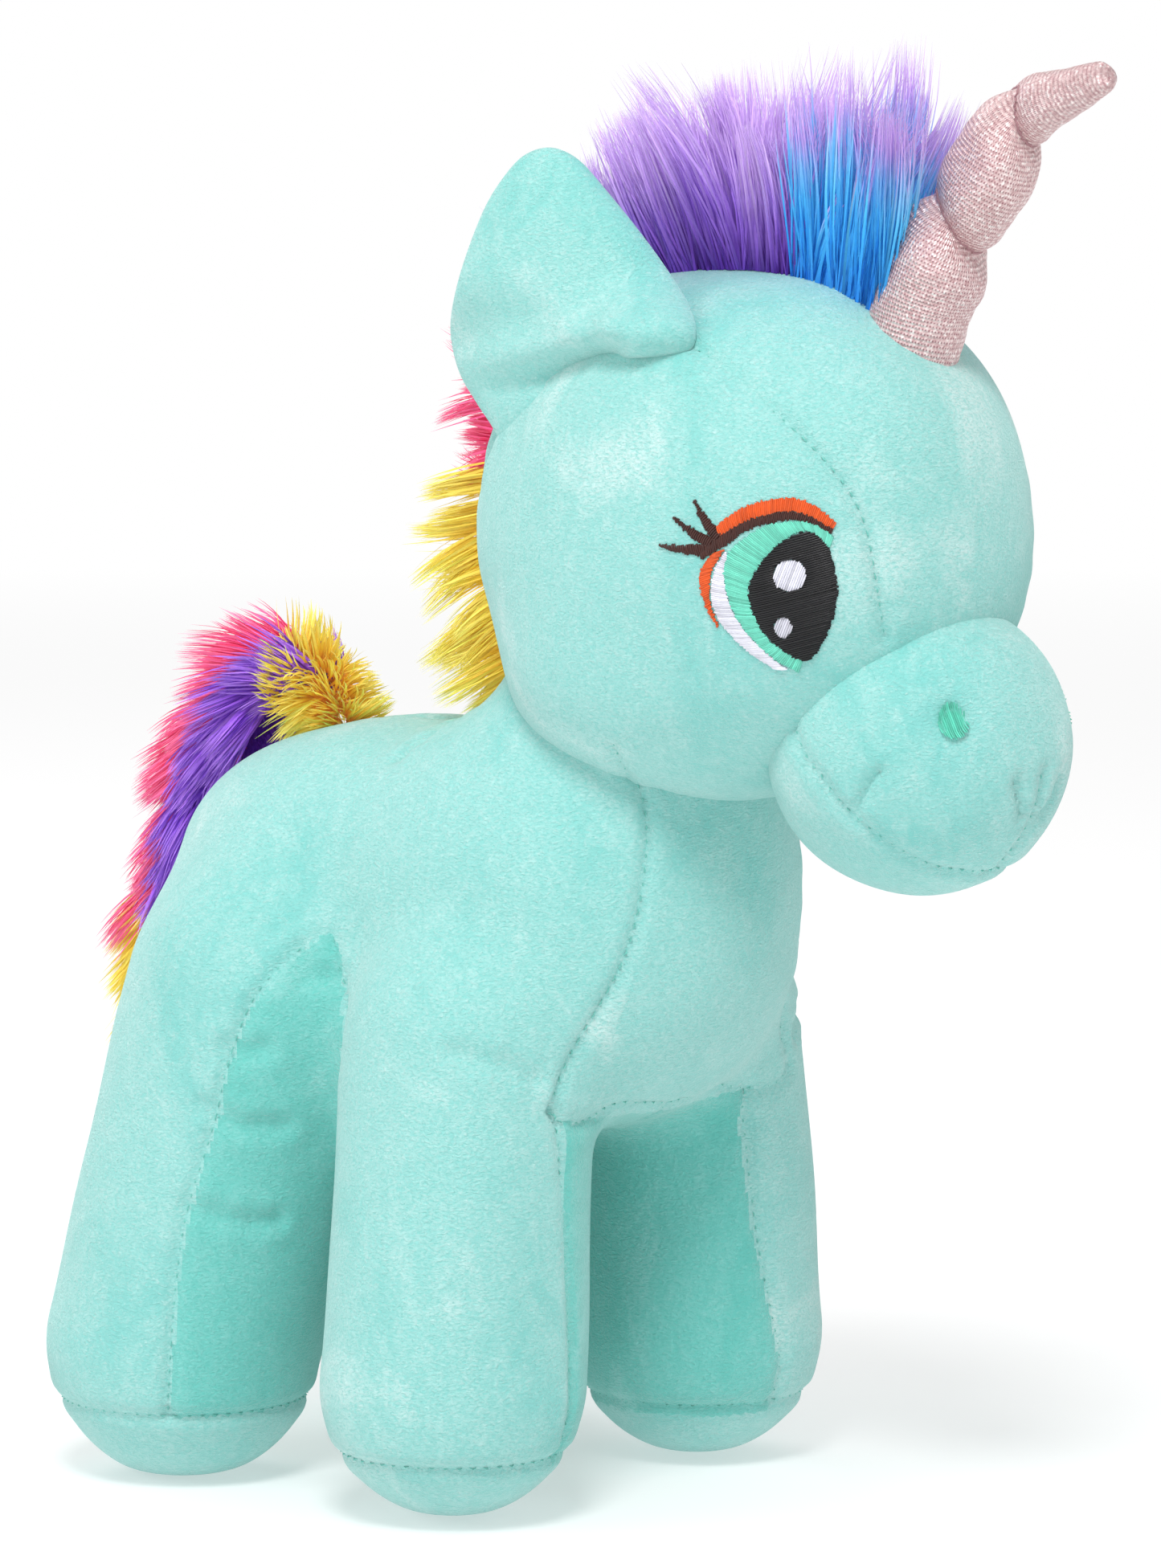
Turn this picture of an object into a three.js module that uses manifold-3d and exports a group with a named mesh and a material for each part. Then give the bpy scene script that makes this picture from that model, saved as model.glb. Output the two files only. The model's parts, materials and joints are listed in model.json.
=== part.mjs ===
// Plush unicorn, standing: sewn panels over stuffing, with horn, mane, ears, tail and stitched eyes.
// Millimetres, +Z up. The toy faces -Y, its left side is +X, and it stands on the plane z = 0.
import * as THREE from 'three';
import { mergeVertices } from 'three/addons/utils/BufferGeometryUtils.js';
import Module from 'manifold-3d';

const wasm = await Module();
wasm.setup();

// ---- driving dimensions -------------------------------------------------------------------
const SKIN = 2.0;            // pile fabric with its backing
const GAP = 0.3;             // room between neighbouring pieces
const CRUMB = 1;             // slivers below this volume are cutting waste
const FAR = 300;             // reach of cutting solids
const SHIFT_Y = 41.143;       // brings the whole toy to the middle of its own length

const BELLY = { at: [0, -1, 113.5], r: [43.5, 57, 41] };
const CHEST = { at: [0, -42, 122], r: [44, 37, 50] };
const HEAD = { at: [0, -80, 196], r: [46, 57.5, 52] };
const MUZZLE = { at: [0, -118, 156.5], r: [32, 30, 30.5] };
const NECK_HOLE_R = 21;      // opening the neck filling passes through

const LEG = {                // round cone with a small flat under the foot
  flat: 9, foot: 28.5, top: 95,
  front: { at: [40, -36], lean: [-0.09, 0], rTop: 26 },
  hind: { at: [40, 35], lean: [-0.15, -0.24], rTop: 29 },
};
const PAD_TOP = 16.5;        // seam between leg and foot pad

const HORN_PATH = [          // y, z, radius along the middle plane, base to tip
  [-113.5, 226, 9.6], [-118.5, 236, 9.9], [-122, 247, 9.6], [-126, 255, 7.6], [-129.5, 259.5, 6.3],
  [-134, 265, 7.2], [-139, 271, 6.4], [-144, 276.5, 4.0], [-148, 279, 3.6], [-154, 281, 4.0], [-162, 283, 2.6],
];
const HORN_TURNS = 2.6;      // winding of the pinching thread
const THREAD_R = 0.5;

const CROWN_PATH = [         // y, z, half width, half depth
  [-110, 246, 8, 8], [-104, 260, 13, 17], [-84, 265, 15, 19], [-60, 260, 15, 18], [-38, 245, 14, 15], [-25, 228, 12, 8],
];
const NAPE_PATH = [[-28, 232, 8, 6], [-16, 215, 12, 12], [-10, 195, 12, 13], [-11, 182, 11, 12], [-14, 174, 7, 5]];
const TAIL_PATH = [
  [26, 157, 8, 5], [35, 167, 13, 9], [50, 163, 15, 12], [60, 146, 15, 12], [67, 124, 13, 11], [73, 107, 9, 8], [78, 94, 4, 4],
];

const EAR = { base: [30, -63, 233], size: [6.5, 23, 31], rise: 24, yaw: 28, roll: 14 };
const EYE = { at: [36.4, -113.72, 186.9], out: [0.848, -0.503, -0.166] };
const NOSTRIL = { at: [18.4, -140.6, 162.5], size: [3.7, 4.4] };

// ---- outlines in the eye's own plane: forward, up ---------------------------------------
const EYE_OUTLINES = {
  shine_large: [[1.3, 6.1], [4.3, 3.1], [1.2, 0], [-1.8, 3.1]],
  shine_small: [[-0.1, -4.9], [1.7, -7.1], [-0.2, -9.4], [-2, -7.1]],
  pupil: [[4, 11.2], [-3, 6.8], [-6.6, 0], [-4, -8], [3.6, -13.6], [8.1, -8.8], [10.2, -1.4], [8.8, 7.7]],
  iris: [[9.6, 9.6], [2.4, 13], [-3.8, 11.6], [-10.2, 7], [-11.1, 1.8], [-9.5, -4.4], [-6.3, -9.2], [0.6, -15.7],
    [5, -14], [6, 0]],
  white: [[-9, 6.5], [-11.5, 5.8], [-13.7, 2.6], [-14.1, -2.9], [-12.3, -7.2], [-8, -11.9], [-2.4, -15.4], [-3, -10],
    [-7, 0]],
  lid_upper: [[-12.4, 11.2], [-6.9, 14.9], [-0.5, 16.8], [4.5, 15.9], [9.4, 12.2], [5, 12.5], [-5, 12]],
  lid_lower: [[-13.4, 6.6], [-15.8, 3.7], [-16.2, 0.1], [-15.4, -3.4], [-12.8, -7.4], [-12.6, 0], [-12.2, 5]],
  lashes: [[-24, 7.2], [-17.5, 9], [-21.4, 12.8], [-15.5, 11], [-17.2, 16.2], [-12.2, 11.6], [-6.2, 14.2], [2.4, 16],
    [9.2, 12.6], [2.4, 13.6], [-6.2, 11.4], [-11.5, 7.6], [-17, 6.2]],
};

// ---- colours ------------------------------------------------------------------------------
const LOOK = {
  mint: [0x9fe3d4, 0.95, 0], mint_deep: [0x7fd8c6, 0.95, 0], filling: [0xf4f3ee, 1, 0],
  horn_knit: [0xcda9ab, 0.45, 0.35], horn_thread: [0xb98f94, 0.6, 0], fur_blue: [0x3f9fe0, 0.9, 0],
  fur_purple: [0x8250b4, 0.9, 0], fur_pink: [0xe63c6e, 0.9, 0], fur_yellow: [0xf5be3c, 0.9, 0],
  stitch_black: [0x101012, 0.55, 0], stitch_white: [0xe4e4ec, 0.55, 0], stitch_teal: [0x5fc9ac, 0.55, 0],
  stitch_orange: [0xe15514, 0.55, 0], stitch_brown: [0x411e16, 0.55, 0],
};

// ---- solids -------------------------------------------------------------------------------
function solid(geometry) {
  const g = geometry.clone();
  g.deleteAttribute('normal');
  g.deleteAttribute('uv');
  const m = mergeVertices(g, 1e-4);
  return new wasm.Manifold(new wasm.Mesh({
    numProp: 3, vertProperties: new Float32Array(m.attributes.position.array), triVerts: new Uint32Array(m.index.array),
  }));
}
const join = (list) => list.reduce((a, b) => a.add(b));
const cutAll = (body, tools) => tools.reduce((a, b) => a.subtract(b), body);

function ellipsoid({ at, r }, inset = 0, around = 16, down = 11) {
  const g = new THREE.SphereGeometry(1, around, down);
  g.rotateX(Math.PI / 2);
  g.scale(...r.map((v) => v - inset));
  g.translate(...at);
  return solid(g);
}

function box([x0, y0, z0], [x1, y1, z1]) {
  const g = new THREE.BoxGeometry(x1 - x0, y1 - y0, z1 - z0);
  g.translate((x0 + x1) / 2, (y0 + y1) / 2, (z0 + z1) / 2);
  return solid(g);
}

// closed outline pushed out by d, corners kept sharp
function grown(points, d) {
  const v = points.map((p) => new THREE.Vector2(...p));
  const turn = Math.sign(THREE.ShapeUtils.area(v));
  return v.map((p, i) => {
    const before = v[(i + v.length - 1) % v.length];
    const after = v[(i + 1) % v.length];
    const a = p.clone().sub(before).normalize();
    const b = after.clone().sub(p).normalize();
    const na = new THREE.Vector2(a.y, -a.x);
    const nb = new THREE.Vector2(b.y, -b.x);
    const n = na.add(nb).normalize();
    const stretch = Math.max(0.5, n.dot(new THREE.Vector2(b.y, -b.x)));
    return p.clone().addScaledVector(n, (turn * d) / stretch);
  });
}

// outline pushed along an axis; the basis names where the outline's x, its y and the push go
function prism(points, basis, from, depth, d = 0) {
  const shape = new THREE.Shape(grown(points, d));
  const g = new THREE.ExtrudeGeometry(shape, { depth, bevelEnabled: false });
  g.translate(0, 0, from);
  g.applyMatrix4(new THREE.Matrix4().makeBasis(...basis));
  return solid(g);
}
const X = new THREE.Vector3(1, 0, 0);
const Y = new THREE.Vector3(0, 1, 0);
const Z = new THREE.Vector3(0, 0, 1);
const alongX = [Y, Z, X];                        // outline in y, z
const backToFront = [X, Z, Y.clone().negate()];  // outline in x, z, pushed towards -Y

function leg(side, which, inset) {
  const spec = LEG[which];
  const round = LEG.foot - inset;
  const profile = [[0, inset], [LEG.flat, inset]];
  for (const a of [42, 66, 92]) {
    const t = THREE.MathUtils.degToRad(a);
    profile.push([round * Math.sin(t), LEG.foot - 1.5 - round * Math.cos(t)]);
  }
  const top = spec.rTop - inset;
  profile.push([top, LEG.top]);
  for (const a of [45]) {
    const t = THREE.MathUtils.degToRad(a);
    profile.push([top * Math.cos(t), LEG.top + top * Math.sin(t)]);
  }
  profile.push([0, LEG.top + top]);
  const g = new THREE.LatheGeometry(profile.map(([r, z]) => new THREE.Vector2(r, z)), 14);
  g.rotateX(Math.PI / 2);
  const p = g.attributes.position;
  for (let i = 0; i < p.count; i++) {
    const rise = Math.max(0, p.getZ(i) - LEG.foot);
    p.setX(i, side * (p.getX(i) + spec.at[0] + spec.lean[0] * rise));
    p.setY(i, p.getY(i) + spec.at[1] + spec.lean[1] * rise);
  }
  const m = solid(side > 0 ? g : flipped(g));
  return m;
}

function flipped(geometry) {
  const index = geometry.index.array;
  for (let i = 0; i < index.length; i += 3) [index[i], index[i + 1]] = [index[i + 1], index[i]];
  return geometry;
}

// rounded sweep in the middle plane: rows of y, z, half width, half depth
function sweep(rows, inset = 0, around = 10, along = 10) {
  const path = new THREE.CatmullRomCurve3(rows.map(([y, z]) => new THREE.Vector3(0, y, z)));
  const girth = new THREE.CatmullRomCurve3(rows.map(([, , w, d]) => new THREE.Vector3(w, d ?? w, 0)));
  const g = new THREE.SphereGeometry(1, around, along);
  const p = g.attributes.position;
  for (let i = 0; i < p.count; i++) {
    const v = new THREE.Vector3().fromBufferAttribute(p, i);
    const t = THREE.MathUtils.clamp((1 - v.y) / 2, 0, 1);
    const ring = Math.hypot(v.x, v.z);
    const full = ring < 1e-6 ? 0 : Math.sqrt(Math.max(0, 1 - Math.abs(v.y) ** 5));
    const s = THREE.MathUtils.lerp(inset / 60, 1 - inset / 60, t);
    const c = path.getPoint(s);
    const tangent = path.getTangent(s);
    const across = new THREE.Vector3(0, tangent.z, -tangent.y);
    const size = girth.getPoint(s);
    const k = ring < 1e-6 ? 0 : full / ring;
    c.x += v.x * k * (size.x - inset);
    c.addScaledVector(across, v.z * k * (size.y - inset));
    p.setXYZ(i, c.x, c.y, c.z);
  }
  return solid(g);
}

// ---- assembly -----------------------------------------------------------------------------
const group = new THREE.Group();
group.name = 'plush_unicorn';

function place(name, body, look) {
  const whole = join(body.decompose().filter((b) => b.volume() > CRUMB));
  const mesh = whole.getMesh();
  const g = new THREE.BufferGeometry();
  g.setAttribute('position', new THREE.BufferAttribute(new Float32Array(mesh.vertProperties), 3));
  g.setIndex(new THREE.BufferAttribute(new Uint32Array(mesh.triVerts), 1));
  g.translate(0, SHIFT_Y, 0);
  g.computeVertexNormals();
  const [color, roughness, metalness] = LOOK[look];
  const part = new THREE.Mesh(g, new THREE.MeshStandardMaterial({ color, roughness, metalness }));
  part.name = name;
  group.add(part);
}

const SIDES = [['right', -1], ['left', 1]];
const CORNERS = SIDES.flatMap(([s, k]) => [['front', s, k], ['hind', s, k]]);
const half = (k, margin = GAP / 2) => (k > 0
  ? box([margin, -FAR, -FAR], [FAR, FAR, FAR]) : box([-FAR, -FAR, -FAR], [-margin, FAR, FAR]));

// head socket in the neck: room for the head to nod on its own centre
const socket = ellipsoid({ at: HEAD.at, r: [HEAD.r[0] + 1, HEAD.r[1] + 2.1, HEAD.r[2] + 2.4] });

// ---- torso and legs -----------------------------------------------------------------------
const torso = (inset) => ellipsoid(BELLY, inset).add(ellipsoid(CHEST, inset));
const legs = (inset) => join(CORNERS.map(([which, , k]) => leg(k, which, inset)));
const shape = (inset) => torso(inset).add(legs(inset));

const skin = shape(0).subtract(shape(SKIN)).subtract(socket);

const chestPanel = (d) => prism([[-22, 210], [-23.5, 150], [-24, 135], [-27.5, 113], [-35, 94], [-40.5, 82],
  [-32, 79.5], [0, 77.5], [32, 79.5], [40.5, 82], [35, 94], [27.5, 113], [24, 135], [23.5, 150], [22, 210]],
backToFront, 52, 60, d);

// inner legs and half the belly, with the arch that rises on the flank
const flankArch = [[-14, -20], [-14, 60], [-18.4, 103], [-10, 113], [-8.7, 115.3], [-3.7, 111], [1.6, 103],
  [6.3, 89.6], [9.6, 76], [14.8, 58], [17.2, 41.7], [19.7, 20], [20, -20]];
const gusset = (k, d) => join([
  k < 0 ? box([-41 - d, -FAR, -20], [-GAP / 2 + d, FAR, 82 + d]) : box([GAP / 2 - d, -FAR, -20], [41 + d, FAR, 82 + d]),
  k < 0 ? prism(flankArch, alongX, -95, 95 - GAP / 2 + d, d) : prism(flankArch, alongX, GAP / 2 - d, 95, d),
]);
const below = (z) => box([-FAR, -FAR, -FAR], [FAR, FAR, z]);
const above = (z) => box([-FAR, -FAR, z], [FAR, FAR, FAR]);

const chest = chestPanel(0);
const chestWide = chestPanel(GAP);
const upper = skin.intersect(above(PAD_TOP + GAP / 2));
place('chest_panel', upper.intersect(chest), 'mint');
for (const [side, k] of SIDES) {
  const rest = upper.intersect(half(k)).subtract(chestWide);
  place(`body_side_${side}`, rest.subtract(gusset(k, GAP)), 'mint');
  place(`belly_gusset_${side}`, rest.intersect(gusset(k, 0)), 'mint_deep');
}
for (const [which, side, k] of CORNERS) {
  const spec = LEG[which];
  const lot = box([k * spec.at[0] - 36, spec.at[1] - 34, -5], [k * spec.at[0] + 36, spec.at[1] + 34, PAD_TOP - GAP / 2]);
  place(`foot_pad_${which}_${side}`, leg(k, which, 0).subtract(leg(k, which, SKIN)).intersect(lot), 'mint_deep');
}
const core = SKIN + GAP;
const torsoFill = torso(core).subtract(socket);
place('stuffing_torso', torsoFill, 'filling');
for (const [which, side, k] of CORNERS) {
  place(`stuffing_leg_${which}_${side}`, leg(k, which, core).subtract(torso(core - GAP)), 'filling');
}

// ---- head ---------------------------------------------------------------------------------
const HEAD_MESH = [20, 12];
const headOuter = ellipsoid(HEAD, 0, ...HEAD_MESH);
const muzzleOuter = ellipsoid(MUZZLE, 0, 16, 10);
const muzzleInner = ellipsoid(MUZZLE, SKIN, 16, 10);
const neckHole = solid(new THREE.CylinderGeometry(NECK_HOLE_R, NECK_HOLE_R, 60, 20)
  .rotateX(Math.PI / 2).rotateX(THREE.MathUtils.degToRad(35)).translate(0, -50, 160));
const headSkin = cutAll(headOuter, [ellipsoid(HEAD, SKIN, ...HEAD_MESH), muzzleInner, neckHole]);

const foreheadOutline = [[-21, 172], [-22, 178], [-25, 186], [-27.5, 200], [-30, 209], [-33.5, 221], [-33, 270]];
const napeOutline = [[-5, 150], [-10, 178], [-20, 195], [-29, 215], [-31, 229], [-33, 270]];
const mirrored = (list) => [...list, ...list.map(([x, z]) => [-x, z]).reverse()];
const forehead = (d) => join([
  prism(mirrored(foreheadOutline), backToFront, 79, 80, d),
  prism(mirrored(napeOutline), backToFront, 0, 79.5, d),
]);
const chin = (d) => box([-31 - d, -FAR, -FAR], [31 + d, -71 + d, 158 + d]);

place('forehead_gusset', headSkin.intersect(forehead(0)), 'mint');
place('chin_panel', headSkin.subtract(forehead(GAP)).intersect(chin(0)), 'mint');
const headRest = cutAll(headSkin, [forehead(GAP), chin(GAP)]);
for (const [side, k] of SIDES) place(`head_side_${side}`, headRest.intersect(half(k)), 'mint');
place('stuffing_head', ellipsoid(HEAD, core, ...HEAD_MESH), 'filling');

// ---- muzzle -------------------------------------------------------------------------------
const aroundHead = ellipsoid(HEAD, -GAP, ...HEAD_MESH);
const muzzleSkin = muzzleOuter.subtract(muzzleInner).subtract(aroundHead);
// mouth line: a plane that falls towards the front
const mouth = (d) => prism([[-170, MUZZLE.at[2] - 46 + d], [-60, MUZZLE.at[2] + 12 + d], [-60, 90], [-170, 90]],
  alongX, -60, 120);
place('muzzle_chin', muzzleSkin.intersect(mouth(0)), 'mint_deep');
for (const [side, k] of SIDES) {
  place(`muzzle_${side}`, muzzleSkin.subtract(mouth(GAP)).intersect(half(k)), 'mint');
}
place('stuffing_muzzle', ellipsoid(MUZZLE, core, 16, 10).subtract(ellipsoid(HEAD, SKIN, ...HEAD_MESH)), 'filling');

// ---- stitched eyes and nostrils -------------------------------------------------------------
function frameAt(out, k) {
  const n = new THREE.Vector3(k * out[0], out[1], out[2]).normalize();
  const forward = new THREE.Vector3().crossVectors(Z, n).normalize();
  if (forward.y > 0) forward.negate();
  const up = new THREE.Vector3().crossVectors(n, forward);
  if (up.z < 0) up.negate();
  return [forward, up, n];
}
function patch(points, at, out, k, smooth, d = 0) {
  const outline = smooth ? new THREE.CatmullRomCurve3(points.map(([a, b]) => new THREE.Vector3(a, b, 0)), true)
    .getSpacedPoints(14).slice(1).map((v) => [v.x, v.y]) : points;
  const [forward, up, n] = frameAt(out, k);
  const g = new THREE.ExtrudeGeometry(new THREE.Shape(grown(outline, d)), { depth: 30, bevelEnabled: false });
  g.translate(0, 0, -15);
  const basis = new THREE.Matrix4().makeBasis(forward, up, n);
  g.applyMatrix4(basis);
  g.translate(k * at[0], at[1], at[2]);
  return solid(basis.determinant() > 0 ? g : flipped(indexed(g)));
}
function indexed(g) {
  g.deleteAttribute('normal');
  g.deleteAttribute('uv');
  return mergeVertices(g, 1e-4);
}
const eyeLayer = ellipsoid(HEAD, -GAP - 0.8, ...HEAD_MESH).subtract(ellipsoid(HEAD, -GAP, ...HEAD_MESH));
const EYE_LOOKS = [['shine_large', 'stitch_white'], ['shine_small', 'stitch_white'], ['pupil', 'stitch_black'],
  ['iris', 'stitch_teal'], ['white', 'stitch_white'], ['lid_lower', 'stitch_orange'], ['lid_upper', 'stitch_orange'],
  ['lashes', 'stitch_brown']];
for (const [side, k] of SIDES) {
  const taken = [muzzleOuter];
  for (const [name, look] of EYE_LOOKS) {
    const smooth = name !== 'lashes';
    const body = cutAll(eyeLayer.intersect(patch(EYE_OUTLINES[name], EYE.at, EYE.out, k, smooth)), taken);
    place(`eye_${name}_${side}`, largest(body), look);
    taken.push(patch(EYE_OUTLINES[name], EYE.at, EYE.out, k, smooth, GAP));
  }
  const drop = [];
  for (let i = 0; i < 10; i++) {
    const a = (i / 10) * Math.PI * 2;
    drop.push([NOSTRIL.size[0] * Math.cos(a), NOSTRIL.size[1] * Math.sin(a)]);
  }
  const layer = ellipsoid(MUZZLE, -GAP - 0.8, 16, 10).subtract(ellipsoid(MUZZLE, -GAP, 16, 10));
  const n = NOSTRIL.at.map((v, i) => (v - MUZZLE.at[i]) / MUZZLE.r[i] ** 2);
  place(`nostril_${side}`, layer.intersect(patch(drop, NOSTRIL.at, n, k, false)), 'stitch_teal');
}
function largest(body) {
  return body.decompose().reduce((a, b) => (a.volume() > b.volume() ? a : b));
}

// ---- ears ---------------------------------------------------------------------------------
const earRoom = ellipsoid(HEAD, -2.6, ...HEAD_MESH);
function earLeaf(k, inset) {
  const [thick, wide, tall] = EAR.size.map((v) => v - inset);
  const g = new THREE.SphereGeometry(1, 12, 8);
  g.rotateX(Math.PI / 2);
  const p = g.attributes.position;
  for (let i = 0; i < p.count; i++) {
    const narrow = 1 - 0.34 * Math.max(0, p.getZ(i)) ** 1.3;
    p.setXYZ(i, p.getX(i) * thick, p.getY(i) * wide * narrow, p.getZ(i) * tall + EAR.rise);
  }
  g.rotateX(THREE.MathUtils.degToRad(-EAR.roll));
  g.rotateZ(THREE.MathUtils.degToRad(-EAR.yaw));
  for (let i = 0; i < p.count; i++) p.setX(i, k * (p.getX(i) + EAR.base[0]));
  g.translate(0, EAR.base[1], EAR.base[2] - 6);
  return solid(k > 0 ? g : flipped(g));
}
function earFace(k, d) {
  const g = new THREE.BoxGeometry(FAR, FAR, FAR);
  g.translate(FAR / 2 + d, 0, 0);
  g.rotateZ(THREE.MathUtils.degToRad(-EAR.yaw));
  for (let i = 0; i < g.attributes.position.count; i++) {
    g.attributes.position.setX(i, k * (g.attributes.position.getX(i) + EAR.base[0]));
  }
  g.translate(0, EAR.base[1], EAR.base[2]);
  return solid(k > 0 ? g : flipped(g));
}
for (const [side, k] of SIDES) {
  const shell = earLeaf(k, 0).subtract(earLeaf(k, 1.6)).subtract(earRoom);
  place(`ear_outer_${side}`, shell.intersect(earFace(k, GAP / 2)), 'mint');
  place(`ear_inner_${side}`, shell.subtract(earFace(k, -GAP / 2)), 'mint');
  place(`stuffing_ear_${side}`, earLeaf(k, 1.6 + GAP).subtract(earRoom), 'filling');
}

// ---- horn ---------------------------------------------------------------------------------
const hornRoom = ellipsoid(HEAD, -1.9, ...HEAD_MESH);
const hornOuter = sweep(HORN_PATH, 0, 10, 18);
place('horn_skin', hornOuter.subtract(sweep(HORN_PATH, 1.2, 10, 18)).subtract(hornRoom), 'horn_knit');
place('stuffing_horn', sweep(HORN_PATH, 1.2 + GAP, 10, 18).subtract(hornRoom), 'filling');
const hornLine = new THREE.CatmullRomCurve3(HORN_PATH.map(([y, z]) => new THREE.Vector3(0, y, z)));
const hornGirth = new THREE.CatmullRomCurve3(HORN_PATH.map(([, , r]) => new THREE.Vector3(r, 0, 0)));
const winding = [];
for (let i = 0; i <= 48; i++) {
  const s = 0.28 + 0.55 * (i / 48);
  const c = hornLine.getPoint(s);
  const t = hornLine.getTangent(s);
  const r = hornGirth.getPoint(s).x + GAP + THREAD_R + 0.35;
  const a = -(i / 48) * HORN_TURNS * Math.PI * 2;
  c.x += r * Math.cos(a);
  winding.push(c.addScaledVector(new THREE.Vector3(0, t.z, -t.y), r * Math.sin(a)));
}
const threadSection = new THREE.Shape(new THREE.EllipseCurve(0, 0, THREAD_R, THREAD_R).getPoints(5).slice(0, -1));
place('horn_thread', solid(new THREE.ExtrudeGeometry(threadSection, {
  steps: 42, bevelEnabled: false, extrudePath: new THREE.CatmullRomCurve3(winding),
})), 'horn_thread');

// ---- mane ---------------------------------------------------------------------------------
const hornSwing = sweep(HORN_PATH.map(([y, z, r]) => [y, z, r + 4.2]), 0, 8, 8)
  .add(sweep(HORN_PATH.map(([y, z, r]) => [y + 2, z - 2, r + 4]), 0, 8, 8));
const earSwing = SIDES.map(([, k]) => earLeaf(k, -4.5));
const crown = cutAll(sweep(CROWN_PATH), [aroundHead, hornSwing, ...earSwing]);
const forelock = (d) => prism([[-150, 215], [-95 + d, 215], [-99 + d, 300], [-150, 300]], alongX, -60, 120);
place('mane_forelock_blue', largest(crown.intersect(forelock(0))), 'fur_blue');
place('mane_crown_purple', largest(crown.subtract(forelock(GAP))), 'fur_purple');
const aboutHead = ([, y, z], k) => [0, k * y, k * z];
const nodded = (body, degrees) => body.translate(aboutHead(HEAD.at, -1)).rotate([degrees, 0, 0])
  .translate(aboutHead(HEAD.at, 1));
const nape = cutAll(sweep(NAPE_PATH), [aroundHead, sweep(CROWN_PATH.map(([y, z, w, d]) => [y, z, w + GAP, d + GAP])),
  ...[-12, -6, 0, 3, 6].map((a) => nodded(torso(-1), a)), ...earSwing]);
place('mane_nape_pink', largest(nape.intersect(above(198 + GAP / 2))), 'fur_pink');
place('mane_nape_yellow', largest(nape.intersect(below(198 - GAP / 2))), 'fur_yellow');

// ---- tail ---------------------------------------------------------------------------------
const swung = (body, degrees) => body.translate([0, -30, 0]).rotate([0, 0, degrees]).translate([0, 30, 0]);
const rump = torso(-0.7).add(leg(1, 'hind', -0.7)).add(leg(-1, 'hind', -0.7));
const tail = cutAll(sweep(TAIL_PATH, 0, 10, 12), [-15, -7.5, 0, 7.5, 15].map((a) => swung(rump, a)));
const tailSlice = (points, d = 0) => prism(points, alongX, -60, 120, d);
const tuft = [[0, 130], [38, 150], [41, 200], [0, 200]];
const tip = [[50, 60], [50, 108], [100, 118], [100, 60]];
const heart = [[38, 100], [38, 190], [56, 178], [64, 150], [66, 100]];
place('tail_tuft_yellow', largest(tail.intersect(tailSlice(tuft))), 'fur_yellow');
place('tail_tip_yellow', largest(tail.intersect(tailSlice(tip))), 'fur_yellow');
const tailMid = cutAll(tail, [tailSlice(tuft, GAP), tailSlice(tip, GAP)]);
place('tail_purple', largest(tailMid.intersect(tailSlice(heart))), 'fur_purple');
place('tail_pink', largest(tailMid.subtract(tailSlice(heart, GAP))), 'fur_pink');

export default group;
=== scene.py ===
"""Plush unicorn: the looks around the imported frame. Lengths are in millimetres until a mesh is made."""
import json
import math

import bpy
import numpy as np
from mathutils import Matrix, Vector, kdtree


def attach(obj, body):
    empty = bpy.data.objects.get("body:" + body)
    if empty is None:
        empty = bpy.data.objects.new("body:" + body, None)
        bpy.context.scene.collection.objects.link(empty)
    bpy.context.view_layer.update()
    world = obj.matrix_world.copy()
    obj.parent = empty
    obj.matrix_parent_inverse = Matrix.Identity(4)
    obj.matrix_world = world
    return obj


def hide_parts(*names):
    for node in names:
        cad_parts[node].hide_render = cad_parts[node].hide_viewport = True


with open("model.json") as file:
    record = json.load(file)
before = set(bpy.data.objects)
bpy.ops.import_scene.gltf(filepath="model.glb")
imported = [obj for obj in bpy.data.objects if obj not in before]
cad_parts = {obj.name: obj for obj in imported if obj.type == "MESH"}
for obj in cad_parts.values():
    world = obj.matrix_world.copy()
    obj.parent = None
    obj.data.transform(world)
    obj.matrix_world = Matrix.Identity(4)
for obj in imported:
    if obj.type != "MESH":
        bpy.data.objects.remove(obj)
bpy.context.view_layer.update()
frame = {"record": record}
scene = bpy.context.scene

MM = 0.001
JOINTS = {j["name"]: j for j in frame["record"]["behaviour"]["joints"]}
NECK = JOINTS["head_nod"]["pos_m"]
# shapes are drawn with the head's centre 80 mm ahead of the origin; the neck joint stands there in the CAD
SHIFT = np.array([0.0, NECK[1] / MM + 80.0, 0.0])

rng = np.random.default_rng(7)
SIDES = (("right", -1), ("left", 1))
FINE = 1.3       # cell of the fabric meshes
COARSE = 5.0                            # cell of the meshes that are blown up
PITCH = 2.8                             # from one seam stitch to the next


def tree_of(points):
    tree = kdtree.KDTree(len(points))
    for i, p in enumerate(points):
        tree.insert(p, i)
    tree.balance()
    return tree


def blended(tree, values, p, count, soft):
    """Mean of the values at the tree's points nearest to p, the closest counting most."""
    near = tree.find_n(p, count)
    w = np.array([1 / (d * d + soft) for _, _, d in near])
    return (values[[j for _, j, _ in near]] * w[:, None]).sum(0) / w.sum()


def run_of(path):
    """Distance along a path at each of its points."""
    return np.concatenate([[0], np.cumsum(np.linalg.norm(np.diff(path, axis=0), axis=1))])


def sampled(t, s, path):
    """Points of a path at t, where s runs along it."""
    return np.stack([np.interp(t, s, column) for column in path.T], -1)


def units(v):
    return v / np.maximum(np.linalg.norm(v, axis=-1), 1e-9)[..., None]


def linked(name, data):
    ob = bpy.data.objects.new(name, data)
    scene.collection.objects.link(ob)
    return ob


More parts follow.
